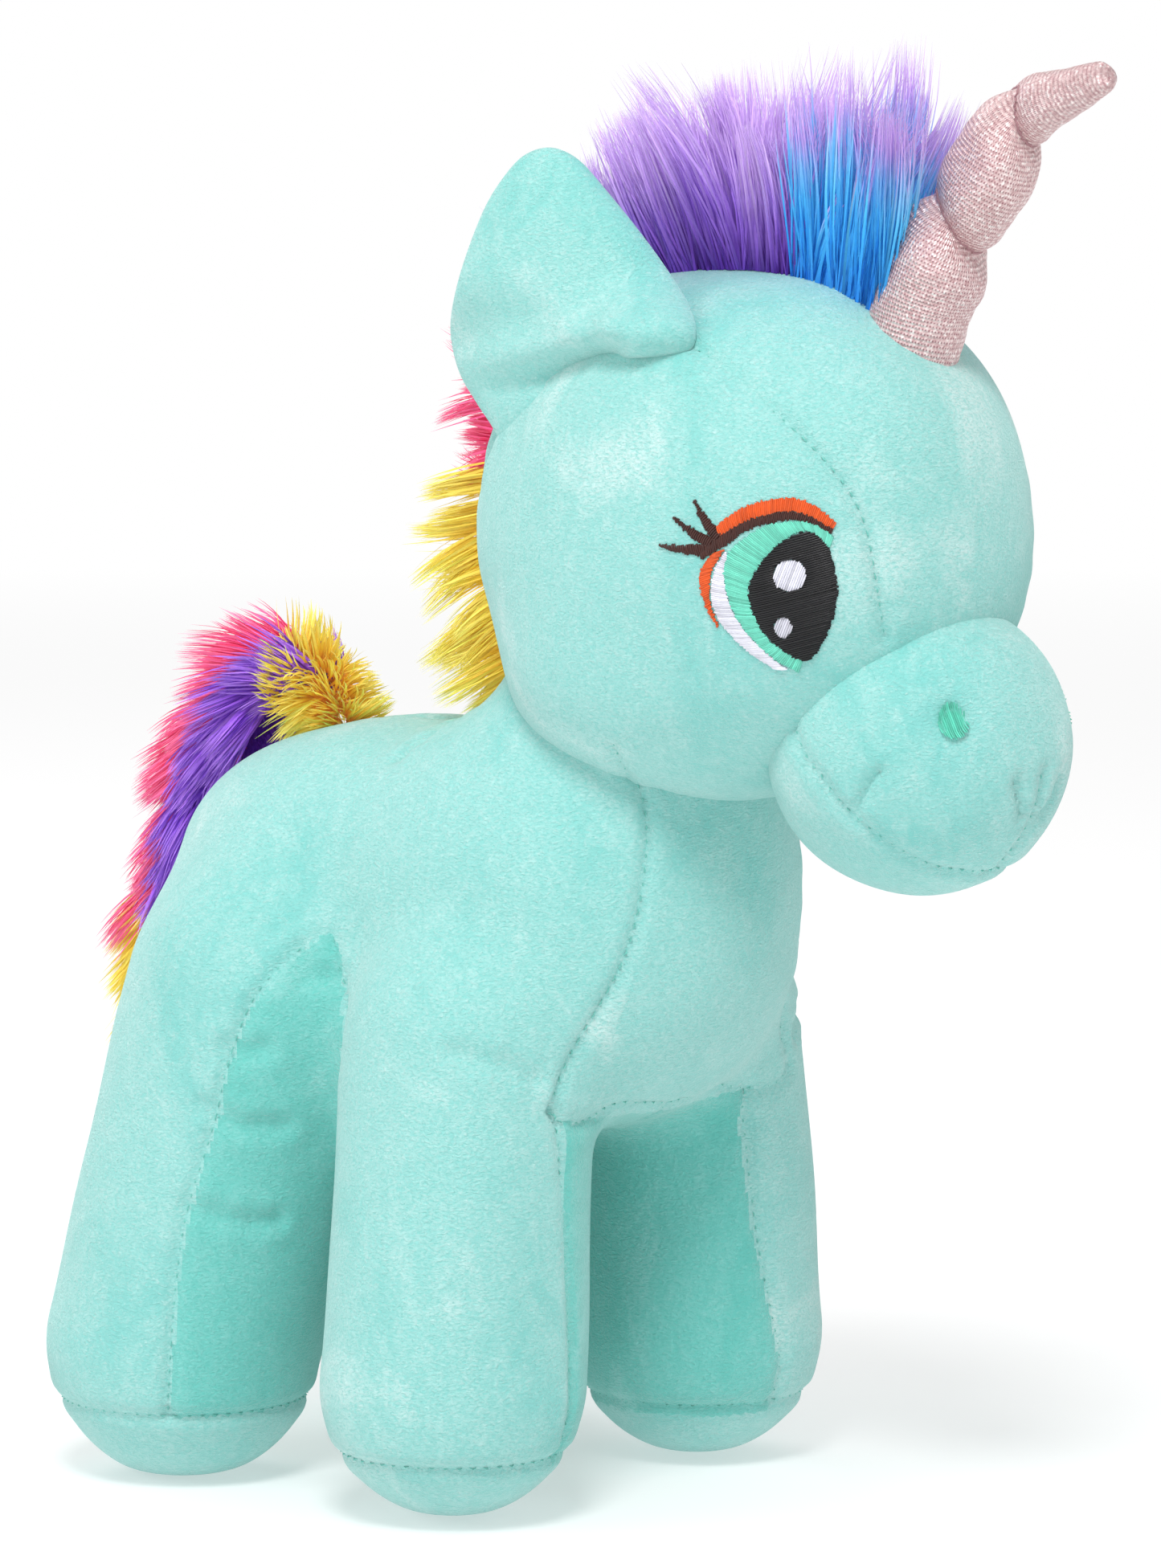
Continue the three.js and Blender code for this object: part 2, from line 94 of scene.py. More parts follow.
# ---- shapes as distance functions
def ell(p, c, r, n=2.0):
    """Ellipsoid, or with n over 2 a boxier one."""
    q = np.abs(p - np.array(c, float)) / np.array(r, float)
    k = (q ** n).sum(1) ** (1 / n)
    return (k - 1) * min(r)


def rcone(p, a, b, ra, rb):
    """Round cone from a, radius ra, to b, radius rb."""
    a, b = np.array(a, float), np.array(b, float)
    ab = b - a
    t = np.clip(((p - a) @ ab) / (ab @ ab), 0, 1)
    return np.linalg.norm(p - a - t[:, None] * ab, axis=1) - (ra + (rb - ra) * t)


def smin(a, b, k):
    """Union of two shapes with a fillet about k wide."""
    h = np.clip(0.5 + 0.5 * (b - a) / k, 0, 1)
    return b + (a - b) * h - k * h * (1 - h)


FOOT_X, FRONT_Y, HIND_Y = 40.0, -36.0, 35.0


def body_f(p):
    """Barrel, chest, neck and four legs, cut flat at the floor."""
    d = ell(p, (0, -1, 113.5), (43.5, 57, 41), 2.55)
    d = smin(d, ell(p, (0, -41, 119), (44, 37.5, 44), 2.25), 12)
    d = smin(d, rcone(p, (0, -46, 128), (0, -57, 174), 32, 27), 9)
    for s in (-1, 1):
        d = smin(d, rcone(p, (s * FOOT_X, FRONT_Y, 27.5), (s * 34, FRONT_Y, 95), 27.2, 25), 8)
        d = smin(d, rcone(p, (s * FOOT_X, HIND_Y, 27.5), (s * 30, 18, 100), 28.5, 31), 10)
    return -smin(-d, p[:, 2], 3)


HEAD_C, HEAD_R = np.array([0, -80, 196.0]), np.array([46, 57.5, 51.5])
JOWL_C, JOWL_R = np.array([0, -66, 168.5]), np.array([39.5, 34, 26.8])
MUZ_C, MUZ_R = np.array([0, -119.5, 155.7]), np.array([29, 30, 29.5])


def head_f(p):
    return smin(ell(p, HEAD_C, HEAD_R, 2.16), ell(p, JOWL_C, JOWL_R, 2.1), 8)


def muzzle_f(p):
    return ell(p, MUZ_C, MUZ_R, 2.05)


def gradient(f, p, h=0.2):
    return np.stack([f(p + h * e) - f(p - h * e) for e in np.eye(3)], -1) / (2 * h)


def settle(f, p, rounds=4):
    """Moves points onto the surface f = 0."""
    p = np.array(p, float)
    for _ in range(rounds):
        g = gradient(f, p)
        p -= g * (f(p) / np.maximum((g * g).sum(1), 1e-6))[:, None]
    return p


def normals_of(f, p):
    return units(gradient(f, p))


def surface_nets(f, lo, hi, h):
    """Even quads over the surface f = 0 inside a box, from cells of side h."""
    lo, hi = np.array(lo, float), np.array(hi, float)
    n = np.ceil((hi - lo) / h).astype(int) + 1
    axes = [lo[i] + h * np.arange(n[i]) for i in range(3)]
    v = np.empty(n)
    yz = np.stack(np.meshgrid(axes[1], axes[2], indexing="ij"), -1).reshape(-1, 2)
    for i, x in enumerate(axes[0]):
        v[i] = f(np.column_stack([np.full(len(yz), x), yz])).reshape(n[1:])
    inside = v < 0
    count = np.zeros(n - 1, int)
    corners = [(a, b, c) for a in (0, 1) for b in (0, 1) for c in (0, 1)]
    for a, b, c in corners:
        count += inside[a:n[0] - 1 + a, b:n[1] - 1 + b, c:n[2] - 1 + c]
    active = (count > 0) & (count < 8)
    cells = np.argwhere(active)
    index = -np.ones(n - 1, int)
    index[active] = np.arange(len(cells))
    pos, hits = np.zeros((len(cells), 3)), np.zeros(len(cells))
    for i, a in enumerate(corners):
        for b in corners[i + 1:]:
            if sum(abs(np.array(a) - np.array(b))) != 1:
                continue
            va, vb = v[tuple((cells + a).T)], v[tuple((cells + b).T)]
            m = (va < 0) != (vb < 0)
            t = va[m] / (va[m] - vb[m])
            pos[m] += np.array(a) + t[:, None] * (np.array(b) - np.array(a))
            hits[m] += 1
    verts = lo + h * (cells + pos / hits[:, None])
    quads = []
    for axis in range(3):
        a = inside.take(range(0, n[axis] - 1), axis)
        b = inside.take(range(1, n[axis]), axis)
        e = np.argwhere(a != b)
        sign = a[tuple(e.T)]
        u, w = [k for k in range(3) if k != axis]
        ok = (e[:, u] > 0) & (e[:, w] > 0) & (e[:, u] < n[u] - 1) & (e[:, w] < n[w] - 1)
        e, sign = e[ok], sign[ok]
        ring = []
        for du, dw in ((1, 1), (0, 1), (0, 0), (1, 0)):
            c = e.copy()
            c[:, u] -= du
            c[:, w] -= dw
            ring.append(index[tuple(c.T)])
        q = np.stack(ring, 1)
        keep = sign if axis != 1 else ~sign
        q[~keep] = q[~keep][:, ::-1]
        quads.append(q)
    return verts, np.concatenate(quads)


# ---- meshes
def new_object(name, verts, quads, mat, normals=None, colours=None, uv=None):
    """verts in millimetres; colours, uv and normals one per vertex."""
    me = bpy.data.meshes.new(name)
    v = (np.asarray(verts) + SHIFT) * MM
    total = len(quads)
    loops = quads.reshape(-1)
    starts = np.arange(total) * 4
    me.vertices.add(len(v))
    me.vertices.foreach_set("co", v.astype(np.float32).ravel())
    me.loops.add(len(loops))
    me.loops.foreach_set("vertex_index", loops.astype(np.int32))
    me.polygons.add(total)
    me.polygons.foreach_set("loop_start", starts.astype(np.int32))
    me.update(calc_edges=True)
    me.polygons.foreach_set("use_smooth", np.ones(total, bool))
    if colours is not None:
        a = me.color_attributes.new("Col", "FLOAT_COLOR", "POINT")
        rgba = np.column_stack([colours, np.ones(len(colours))]).astype(np.float32)
        a.data.foreach_set("color", rgba.ravel())
    if uv is not None:
        layer = me.uv_layers.new(name="UVMap")
        layer.data.foreach_set("uv", np.asarray(uv, np.float32)[loops].ravel())
    if normals is not None:
        me.normals_split_custom_set_from_vertices(np.asarray(normals, np.float32).tolist())
    me.validate(clean_customdata=False)
    ob = linked(name, me)
    me.materials.append(mat)
    return ob


def piece(ob, body, nodes=()):
    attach(ob, body)
    if nodes:
        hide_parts(*nodes)


def vertex_normals(v, q):
    n = np.zeros_like(v)
    fn = np.cross(v[q[:, 2]] - v[q[:, 0]], v[q[:, 3]] - v[q[:, 1]])
    for k in range(4):
        np.add.at(n, q[:, k], fn)
    return units(n)


def wrapped(rows, m, first=0):
    """Faces of a tube made of rows of m points."""
    return [(i + j, i + (j + 1) % m, i + m + (j + 1) % m, i + m + j)
            for i in range(first, first + (rows - 1) * m, m) for j in range(m)]


def to_side(s, v, q):
    """Points and faces drawn on the right, taken to side s."""
    return v * np.array([-s, 1, 1]), q if s < 0 else q[:, ::-1]


# ---- seams
def curve_through(points, step=0.5, closed=False):
    """Smooth curve through points, in steps of about step."""
    p = np.array(points, float)
    if closed:
        p = np.vstack([p[-1], p, p[0], p[1]])
    else:
        p = np.vstack([2 * p[0] - p[1], p, 2 * p[-1] - p[-2]])
    out = []
    for i in range(1, len(p) - 2):
        n = max(2, int(np.linalg.norm(p[i + 1] - p[i]) / step))
        t = np.linspace(0, 1, n, endpoint=False)[:, None]
        a, b, c, d = p[i - 1], p[i], p[i + 1], p[i + 2]
        out.append(0.5 * (2 * b + (c - a) * t + (2 * a - 5 * b + 4 * c - d) * t ** 2
                          + (3 * b - a - 3 * c + d) * t ** 3))
    out.append(p[-2][None])
    return np.concatenate(out)


def mirrored(points):
    return [(-x, y, z) for x, y, z in points]


def both(f, lines, **kind):
    """Seams along each line, drawn on the right, and its mirror image."""
    return [Seam(f, g, **kind) for pts in lines for g in (pts, mirrored(pts))]


class Seam:
    """A sewn line, or a plain crease, laid on the surface f = 0."""

    def __init__(self, f, points, depth=1.1, width=1.1, ridge=0.35, closed=False):
        self.p = settle(f, curve_through(points, closed=closed))
        self.s = run_of(self.p)
        self.f, self.depth, self.width, self.ridge = f, depth, width, ridge


def stuffed(f, lo, hi, v, seams, cap=1.7):
    """Fabric blown up by Blender's cloth between its seams; returns how far each point of v moves."""
    cv, cq = surface_nets(f, lo, hi, COARSE)
    cv = settle(f, cv, 2)
    me = bpy.data.meshes.new("inflating")
    me.from_pydata((cv * MM).tolist(), [], cq.tolist())
    ob = linked("inflating", me)
    tree = tree_of(np.concatenate([seam.p[::4] for seam in seams]))
    hold = ob.vertex_groups.new(name="seam")
    for i, p in enumerate(cv):
        hold.add([i], math.exp(-(tree.find(p)[2] / 4.5) ** 2), "REPLACE")
    cloth = ob.modifiers.new("cloth", "CLOTH")
    c = cloth.settings
    c.quality = 5
    c.mass = 0.3
    c.use_pressure = True
    c.uniform_pressure_force = 4.0
    c.tension_stiffness = c.compression_stiffness = 12
    c.bending_stiffness = 0.4
    c.vertex_group_mass = "seam"
    c.effector_weights.gravity = 0
    cloth.collision_settings.use_collision = False
    for step in range(1, 21):
        scene.frame_set(step)
    done = ob.evaluated_get(bpy.context.evaluated_depsgraph_get())
    moved = np.array([p.co for p in done.data.vertices]) / MM - cv
    scene.frame_set(1)
    bpy.data.objects.remove(ob)
    size = np.linalg.norm(moved, axis=1)
    moved *= (cap * np.tanh(size / cap) / np.maximum(size, 1e-6))[:, None]
    print("cloth moved", round(float(size.mean()), 2), round(float(size.max()), 2), "mm before the cap")
    tree = tree_of(cv)
    return np.array([blended(tree, moved, p, 6, 1.5) for p in v])


def sewn(v, n, seams, reach=9.0):
    """Sinks each seam into the surface, puffs the fabric beside it and gathers it a little."""
    out = v.copy()
    for seam in seams:
        tree = tree_of(seam.p)
        lo, hi = seam.p.min(0) - reach, seam.p.max(0) + reach
        near = np.nonzero(((v > lo) & (v < hi)).all(1))[0]
        d, s = np.empty(len(near)), np.empty(len(near))
        for k, i in enumerate(near):
            _, j, dist = tree.find(v[i])
            d[k], s[k] = dist, seam.s[j]
        groove = -seam.depth * np.exp(-(d / seam.width) ** 2)
        gather = 0.55 + 0.45 * np.sin(2 * np.pi * s / PITCH) * np.exp(-(d / 2.2) ** 2)
        slow = 0.5 + 0.5 * np.sin(2 * np.pi * s / 9.3 + 2.0 * np.sin(s / 17.0))
        puff = seam.ridge * np.exp(-((d - 3.2) / 2.4) ** 2) * (gather + 0.5 * slow)
        wide = -0.25 * seam.depth * np.exp(-(d / 4.5) ** 2)
        out[near] += n[near] * (groove + puff + wide)[:, None]
    return out


class Follow:
    """Carries trim along with the fabric under it, from where it was drawn to where it ended."""

    def __init__(self, before, after):
        self.move = after - before
        self.tree = tree_of(before)

    def __call__(self, points):
        return np.array([p + blended(self.tree, self.move, p, 5, 0.4) for p in points])


def waves(v, amount, length, count=14, seed=3):
    """Slow uneven filling: a sum of sine waves over the surface."""
    r = np.random.default_rng(seed)
    total = np.zeros(len(v))
    for _ in range(count):
        k = r.normal(size=3)
        k *= 2 * np.pi / (np.linalg.norm(k) * length * r.uniform(0.7, 1.6))
        total += np.sin(v @ k + r.uniform(0, 6.28))
    return total * amount / math.sqrt(count)


def stitches(name, skin, radius=0.16):
    """One mesh of the short thread bridges that show along the seams."""
    verts, quads = [], []
    for seam in skin.seams:
        n = normals_of(seam.f, seam.p)
        for m in np.arange(1.0, seam.s[-1] - 1, PITCH):
            ends = [sampled(m + e, seam.s, seam.p) for e in (-0.75, 0, 0.75)]
            j = int(np.searchsorted(seam.s, m))
            up = n[min(j, len(n) - 1)]
            t = ends[2] - ends[0]
            t /= max(np.linalg.norm(t), 1e-9)
            side = np.cross(t, up)
            base = len(verts)
            for e, (c, lift, r) in enumerate(zip(ends, (-1.15, -0.55, -1.15), (0.5, 1, 0.5))):
                for a in range(5):
                    ang = a * 2 * math.pi / 5
                    off = side * math.cos(ang) + up * math.sin(ang)
                    verts.append(c + up * lift * seam.depth + off * radius * r)
            quads += wrapped(3, 5, base)
    ob = new_object(name, skin.carry(np.array(verts)), np.array(quads), SEAM_THREAD)
    piece(ob, skin.body)


# ---- materials
def lin(*srgb):
    """Linear colour from 0-255 sRGB values."""
    return [((c / 255) / 12.92 if c / 255 <= 0.04045 else ((c / 255 + 0.055) / 1.055) ** 2.4)
            for c in srgb]


def dial(node, values):
    for name, value in values.items():
        node.inputs[name].default_value = value


def nodes_of(name):
    m = bpy.data.materials.new(name)
    m.use_nodes = True
    nt = m.node_tree
    here = nt.nodes.new("ShaderNodeTexCoord").outputs["Object"]
    return m, nt, nt.nodes["Principled BSDF"], nt.nodes.new, nt.links.new, here


def ramp(nt, fac, stops):
    r = nt.nodes.new("ShaderNodeValToRGB")
    while len(r.color_ramp.elements) < len(stops):
        r.color_ramp.elements.new(0.5)
    for e, (pos, col) in zip(r.color_ramp.elements, stops):
        e.position = pos
        e.color = (*col, 1)
    nt.links.new(fac, r.inputs["Fac"])
    return r.outputs["Color"]


def levels(nt, fac, *stops):
    """A ramp of greys."""
    return ramp(nt, fac, [(at, (value,) * 3) for at, value in stops])


def noise(nt, vec, scale, detail=3, rough=0.55, distortion=0.0):
    t = nt.nodes.new("ShaderNodeTexNoise")
    dial(t, {"Scale": scale, "Detail": detail, "Roughness": rough, "Distortion": distortion})
    nt.links.new(vec, t.inputs["Vector"])
    return t.outputs["Fac"]


def mix(nt, fac, a, b, kind="MIX"):
    m = nt.nodes.new("ShaderNodeMix")
    m.data_type = "RGBA"
    m.blend_type = kind
    for value, sock in ((fac, m.inputs[0]), (a, m.inputs[6]), (b, m.inputs[7])):
        if hasattr(value, "links"):
            nt.links.new(value, sock)
        elif isinstance(value, (int, float)):
            sock.default_value = value
        else:
            sock.default_value = (*value, 1)
    return m.outputs[2]


def bump(nt, bsdf, height, distance, strength=1.0, after=None):
    b = nt.nodes.new("ShaderNodeBump")
    dial(b, {"Strength": strength, "Distance": distance})
    nt.links.new(height, b.inputs["Height"])
    if after is not None:
        nt.links.new(after, b.inputs["Normal"])
    nt.links.new(b.outputs["Normal"], bsdf.inputs["Normal"])
    return b.outputs["Normal"]


def velour(name, base, pale, deep, seed=0.0):
    """Short crushed pile: broad nap, flecks, and the pile itself in fine level rows."""
    m, nt, bsdf, new, link, here = nodes_of(name)
    mp = new("ShaderNodeMapping")
    dial(mp, {"Location": (seed, seed * 0.7, seed * 1.3), "Scale": (1.0, 1.0, 0.72)})
    link(here, mp.inputs["Vector"])
    vec = mp.outputs["Vector"]
    nap = noise(nt, vec, 26, 4, 0.62, 0.9)
    fleck = noise(nt, vec, 260, 4, 0.72, 0.5)
    rows = new("ShaderNodeMapping")
    rows.inputs["Scale"].default_value = (1.0, 1.0, 1.9)
    link(here, rows.inputs["Vector"])
    pile = noise(nt, rows.outputs["Vector"], 1100, 3, 0.72, 0.4)
    tone = ramp(nt, nap, [(0.33, deep), (0.47, base), (0.56, base), (0.68, pale)])
    tone = mix(nt, levels(nt, fleck, (0.46, 0), (0.66, 0.3)), tone, pale)
    tone = mix(nt, levels(nt, pile, (0.36, 0.75), (0.56, 0)), tone, deep)
    # The pile's pale specks are partly its own grain and partly painted glints on the fibres.
    tone = mix(nt, levels(nt, pile, (0.58, 0), (0.74, 0.6)), tone, pale)
    link(tone, bsdf.inputs["Base Color"])
    dial(bsdf, {"Roughness": 0.9, "Specular IOR Level": 0.22, "Sheen Weight": 0.75,
                "Sheen Roughness": 0.4, "Sheen Tint": (*lin(236, 255, 252), 1)})
    first = bump(nt, bsdf, fleck, 0.0008, 0.35)
    bump(nt, bsdf, pile, 0.0006, 0.9, first)
    return m


MINTS = lin(160, 219, 214), lin(201, 233, 230), lin(132, 210, 204)
MINT = velour("mint_velour", *MINTS)
MINT_EAR = velour("mint_velour_ear", *MINTS, 0.31)
# A darker copy of the mint for the belly gussets: painted shade between the legs, and partly the nap of the
# pile lying another way.
MINT_SHADE = velour("mint_velour_inner_painted_shade", lin(124, 207, 199), lin(158, 219, 214), lin(104, 200, 190), 0.57)


def strand_material(name, rough, spec, glow=0.0):
    """Fibre or thread in its mesh's own colours; glow stands in for light through thin fibres."""
    m, nt, bsdf, new, link, here = nodes_of(name)
    a = new("ShaderNodeVertexColor")
    a.layer_name = "Col"
    fine = noise(nt, here, 900, 2)
    dark = levels(nt, fine, (0.3, 0.9), (0.7, 1))
    link(mix(nt, 1.0, a.outputs["Color"], dark, "MULTIPLY"), bsdf.inputs["Base Color"])
    link(a.outputs["Color"], bsdf.inputs["Emission Color"])
    dial(bsdf, {"Emission Strength": glow, "Roughness": rough, "Specular IOR Level": spec})
    bump(nt, bsdf, fine, 0.0002, 0.5)
    return m


FUR = strand_material("long_pile", 0.6, 0.3, 0.07)
THREAD = strand_material("satin_thread", 0.42, 0.5)


def sewing_thread(name, colour):
    m, nt, bsdf, new, link, here = nodes_of(name)
    n = noise(nt, here, 2600, 2)
    link(ramp(nt, n, [(0.3, [c * 0.7 for c in colour]), (0.7, colour)]), bsdf.inputs["Base Color"])
    bsdf.inputs["Roughness"].default_value = 0.6
    bump(nt, bsdf, n, 0.0002, 0.6)
    return m


SEAM_THREAD = sewing_thread("mint_thread", lin(126, 214, 202))


# ---- body
CHEST_SIDE = [(-23.4, -66, 152), (-23.5, -71.3, 141.4), (-24.7, -71.5, 128.6), (-27.5, -68.3, 113.2),
              (-35.3, -62.9, 93.8), (-40, -62, 83.7)]
CHEST_BOTTOM = [(-40, -62, 83), (-32.5, -62.5, 80), (-4, -61.5, 78.6), (4, -61.5, 78.6), (32.5, -62.5, 80),
                (40, -62, 83)]
FRONT_LEG = [(-38.5, -62, 83), (-36, -63, 62), (-35, -63.3, 38.8), (-35, -63, 12.5)]
FRONT_LEG_LEFT = [(25.5, -62, 79.5), (24.7, -62.5, 72), (28, -63, 49), (34.5, -63.2, 24), (35.5, -63, 12.5)]
HIND_ARCH = [(-62.6, 19.7, 16.5), (-63.1, 17.2, 41.7), (-62.3, 14.8, 58.4), (-60, 9.6, 76),
             (-58.6, 6.3, 89.6), (-56.4, 1.8, 102), (-50.5, -3.7, 111.2), (-46.7, -8.7, 115.3),
             (-48, -11.5, 110), (-50, -14.5, 96), (-47, -9, 70), (-44, -8, 40), (-42, -8, 16.5)]
HIND_BACK = [(-40, 63, 16.5), (-38, 62, 45), (-33, 58, 72), (-20, 52, 84), (0, 50, 86)]
SPINE = [(0, -18, 163), (0, 0, 158), (0, 20, 156), (0, 40, 145), (0, 52, 125), (0, 55, 105), (0, 50, 86)]
UNDER = [(0, -62, 79), (0, -40, 68), (0, 0, 71), (0, 30, 75), (0, 50, 86)]


PAD_FRONT, PAD_HIND = 12.0, 16.0


def ring(cx, cy, z, r, n=14):
    turns = [2 * math.pi * i / n for i in range(n)]
    return [(cx + r * math.cos(a), cy + r * math.sin(a), z) for a in turns]


body_seams = both(body_f, (CHEST_SIDE, HIND_ARCH, HIND_BACK))
body_seams += [Seam(body_f, pts) for pts in (FRONT_LEG, FRONT_LEG_LEFT, CHEST_BOTTOM, SPINE, UNDER)]
for s in (-1, 1):
    for y, z in ((FRONT_Y, PAD_FRONT), (HIND_Y, PAD_HIND)):
        body_seams.append(Seam(body_f, ring(s * FOOT_X, y, z, 26), depth=1.0, closed=True))
CREASES = [
    [(-58, 8, 92), (-52, 9, 91), (-46, 7, 93)], [(-57, 13, 80), (-50, 10, 77), (-43, 9, 78)],
    [(-53, -12, 108), (-47, -4, 106), (-43, 2, 108)], [(-59, 16, 60), (-52, 9, 57), (-46, 8, 58)],
    [(-44, -61, 90), (-50, -58, 93), (-57, -50, 96)], [(-30, -12, 152), (-22, -14, 158), (-10, -14, 163)],
]
body_creases = both(body_f, CREASES, depth=1.2, width=2.8, ridge=0.7)


SOLE_EASE = 12      # height over which the fabric's swelling comes in above the floor


class Skin:
    """Fabric over a shape: blown up, uneven, creased and sewn, ready to be cut into its panels."""

    def __init__(self, f, body, fill, box, cloth_box, seams, uneven, sunk, seed=3, creases=(), reach=9.0,
                 grounded=False):
        v, self.q = surface_nets(f, *box, FINE)
        drawn = v = settle(f, v, 2)
        n = normals_of(f, v)
        blown = stuffed(f, *cloth_box, v, seams)
        for push in (n * (waves(v, *uneven, seed=seed) - sunk)[:, None], blown):
            v = v + push * (np.clip(v[:, 2:3] / SOLE_EASE, 0, 1) if grounded else 1)
        self.carry = Follow(drawn, v)
        v = sewn(sewn(v, n, creases, reach), n, seams)
        if grounded:
            v[:, 2] = np.maximum(v[:, 2], 0.02)
        self.v, self.out, self.seams, self.body, self.fill = v, n, seams, body, fill

    def centres(self):
        """Middles of the faces. The shape is final from here on."""
        self.n = vertex_normals(self.v, self.q)
        return self.v[self.q].mean(1)

    def cut(self, name, mask, *nodes, mat=MINT):
        faces = self.q[mask]
        used, inverse = np.unique(faces, return_inverse=True)
        ob = new_object(name, self.v[used], inverse.reshape(faces.shape), mat, normals=self.n[used])
        piece(ob, self.body, nodes)


body = Skin(body_f, "torso", 0.8, ((-78, -88, -3), (78, 76, 200)), ((-78, -88, -5), (78, 76, 205)),
            body_seams, (0.45, 42), 0.5, creases=body_creases, reach=8, grounded=True)
c = body.centres()


def width_at(z, table):
    zs, ws = zip(*sorted(table))
    return np.interp(z, zs, ws)


def inside_polygon(y, z, poly):
    hit = np.zeros(len(y), bool)
    for (y0, z0), (y1, z1) in zip(poly, poly[1:] + poly[:1]):
        cross = (z0 > z) != (z1 > z)
        at = (y1 - y0) * (z - z0) / (z1 - z0 + 1e-12) + y0
        hit ^= cross & (y < at)
    return hit


chest_w = width_at(c[:, 2], [(z, -x) for x, _, z in CHEST_SIDE])
ax = np.abs(c[:, 0])
floor_z = width_at(ax, [(0, 78.5), (4, 78.6), (32.5, 80), (40, 83)])
pads = c[:, 2] < np.where(c[:, 1] < 0, PAD_FRONT, PAD_HIND)
chest = (c[:, 1] < -45) & (ax < chest_w) & (c[:, 2] > floor_z) & ~pads
arch = [(-14, -20), (-9, 40), (-10, 70), *((y, z) for _, y, z in HIND_ARCH[9::-1]), (20, -20)]
inner = np.interp(c[:, 1], [-60, -42, -30], [35.6, 39, 41])
inner_left = np.interp(c[:, 2], [16.5, 24, 49, 72, 79.5], [35.5, 34.5, 28, 24.7, 25.5])
toward_front = np.clip((-c[:, 1] - 30) / 25, 0, 1)
inner = np.where(c[:, 0] > 0, inner + (inner_left - inner) * toward_front, inner)
gusset = ((ax < inner) & (c[:, 2] < 84) | inside_polygon(c[:, 1], c[:, 2], arch)) & ~pads & ~chest
rest = ~pads & ~chest & ~gusset
FILL_NODES = {"right": ("stuffing_torso", "stuffing_leg_front_right", "stuffing_leg_hind_right"),
              "left": ("stuffing_leg_front_left", "stuffing_leg_hind_left")}


body.cut("chest_panel_fabric", chest, "chest_panel")
for side, s in SIDES:
    here = c[:, 0] * s > 0
    body.cut(f"body_side_fabric_{side}", rest & here, f"body_side_{side}", *FILL_NODES[side])
    # the gussets take the darker mint, which is painted shade
    body.cut(f"belly_gusset_fabric_{side}", gusset & here, f"belly_gusset_{side}", mat=MINT_SHADE)
    for which, low in (("front", True), ("hind", False)):
        there = pads & here & ((c[:, 1] < 0) == low)
        body.cut(f"foot_pad_fabric_{which}_{side}", there, f"foot_pad_{which}_{side}")
stitches("body_seam_thread", body)

# ---- head
GUSSET = [(-21.9, -126.6, 178.3), (-24.8, -127.2, 186.1), (-27.5, -125.9, 199.8),
          (-30.1, -121.2, 208.8), (-33.4, -108.6, 220.7), (-33.5, -96, 229), (-32.5, -87.7, 232.5),
          (-31, -63.6, 231.3), (-29, -44, 217), (-20, -30, 195), (-10, -26, 178)]
CHIN = [(-31.1, -71.4, 158.4), (-29, -70, 152), (-26.5, -69, 147)]
head_seams = both(head_f, (GUSSET, CHIN))
head = Skin(head_f, "head", 0.95, ((-52, -142, 138), (52, -18, 254)), ((-56, -146, 134), (56, -14, 258)),
            head_seams, (0.4, 40), 0.4, seed=5)
c = head.centres()
ax = np.abs(c[:, 0])
front_w = np.interp(c[:, 2], [178, 186, 200, 209, 221, 232], [21.9, 24.8, 27.5, 30.1, 33.4, 33])
back_w = np.interp(c[:, 2], [170, 178, 195, 217, 231], [2, 10, 20, 29, 31.5])
strip = np.where(c[:, 1] < -80, (ax < front_w) & (c[:, 2] > 174), (ax < back_w) & (c[:, 2] > 170))
chin = ~strip & (c[:, 2] < 158) & (c[:, 1] < -70.5) & (ax < 31)
head.cut("forehead_gusset_fabric", strip, "forehead_gusset", "stuffing_head")
head.cut("chin_panel_fabric", chin, "chin_panel")
for side, s in SIDES:
    head.cut(f"head_side_fabric_{side}", ~strip & ~chin & (c[:, 0] * s > 0), f"head_side_{side}")
stitches("head_seam_thread", head)


# ---- muzzle
def on_muzzle(*points):
    """Points given in the muzzle's own half sizes."""
    return [tuple(MUZ_C + MUZ_R * np.array(p)) for p in points]


MOUTH_LINE = [(-0.9, 0.5, 0.3), (-0.94, 0.35, 0.12), (-0.97, 0.23, -0.05), (-0.98, 0.1, -0.17),
              (-0.95, -0.03, -0.34), (-0.88, -0.15, -0.47), (-0.74, -0.3, -0.62), (-0.55, -0.42, -0.74),
              (-0.39, -0.5, -0.79), (-0.21, -0.56, -0.81), (0, -0.58, -0.82)]
MOUTH = on_muzzle(*MOUTH_LINE)
MOUTH += mirrored(MOUTH[-2::-1])
NOSE = on_muzzle((0, -0.58, -0.82), (0, -0.7, -0.74), (0, -0.87, -0.49), (0, -0.95, -0.31), (0, -0.99, -0.12))
DART = on_muzzle((-0.92, -0.12, -0.39), (-0.95, -0.23, -0.22), (-0.94, -0.33, -0.1))
DIMPLE = on_muzzle((-0.12, -0.9, -0.42), (-0.2, -0.93, -0.3), (-0.26, -0.94, -0.18))
muzzle_seams = [Seam(muzzle_f, MOUTH, depth=1.0, ridge=0.3), Seam(muzzle_f, NOSE)]
muzzle_creases = both(muzzle_f, (DART, DIMPLE), depth=1.5, width=1.1, ridge=0.4)
NOSTRIL = settle(muzzle_f, np.array([[-19.2, -141.1, 162.4]]))[0]
muzzle = Skin(muzzle_f, "head", 0.95, ((-38, -152, 122), (38, -84, 190)),
              ((-42, -156, 118), (42, -80, 194)), muzzle_seams, (0.3, 34), 0.4, seed=9,
              creases=muzzle_creases, reach=7)
for s in (-1, 1):
    d = np.linalg.norm(muzzle.v - NOSTRIL * np.array([-s, 1, 1]), axis=1)
    muzzle.v -= muzzle.out * (1.3 * np.exp(-(d / 4.6) ** 2))[:, None]
c = muzzle.centres()
u = (c - MUZ_C) / MUZ_R
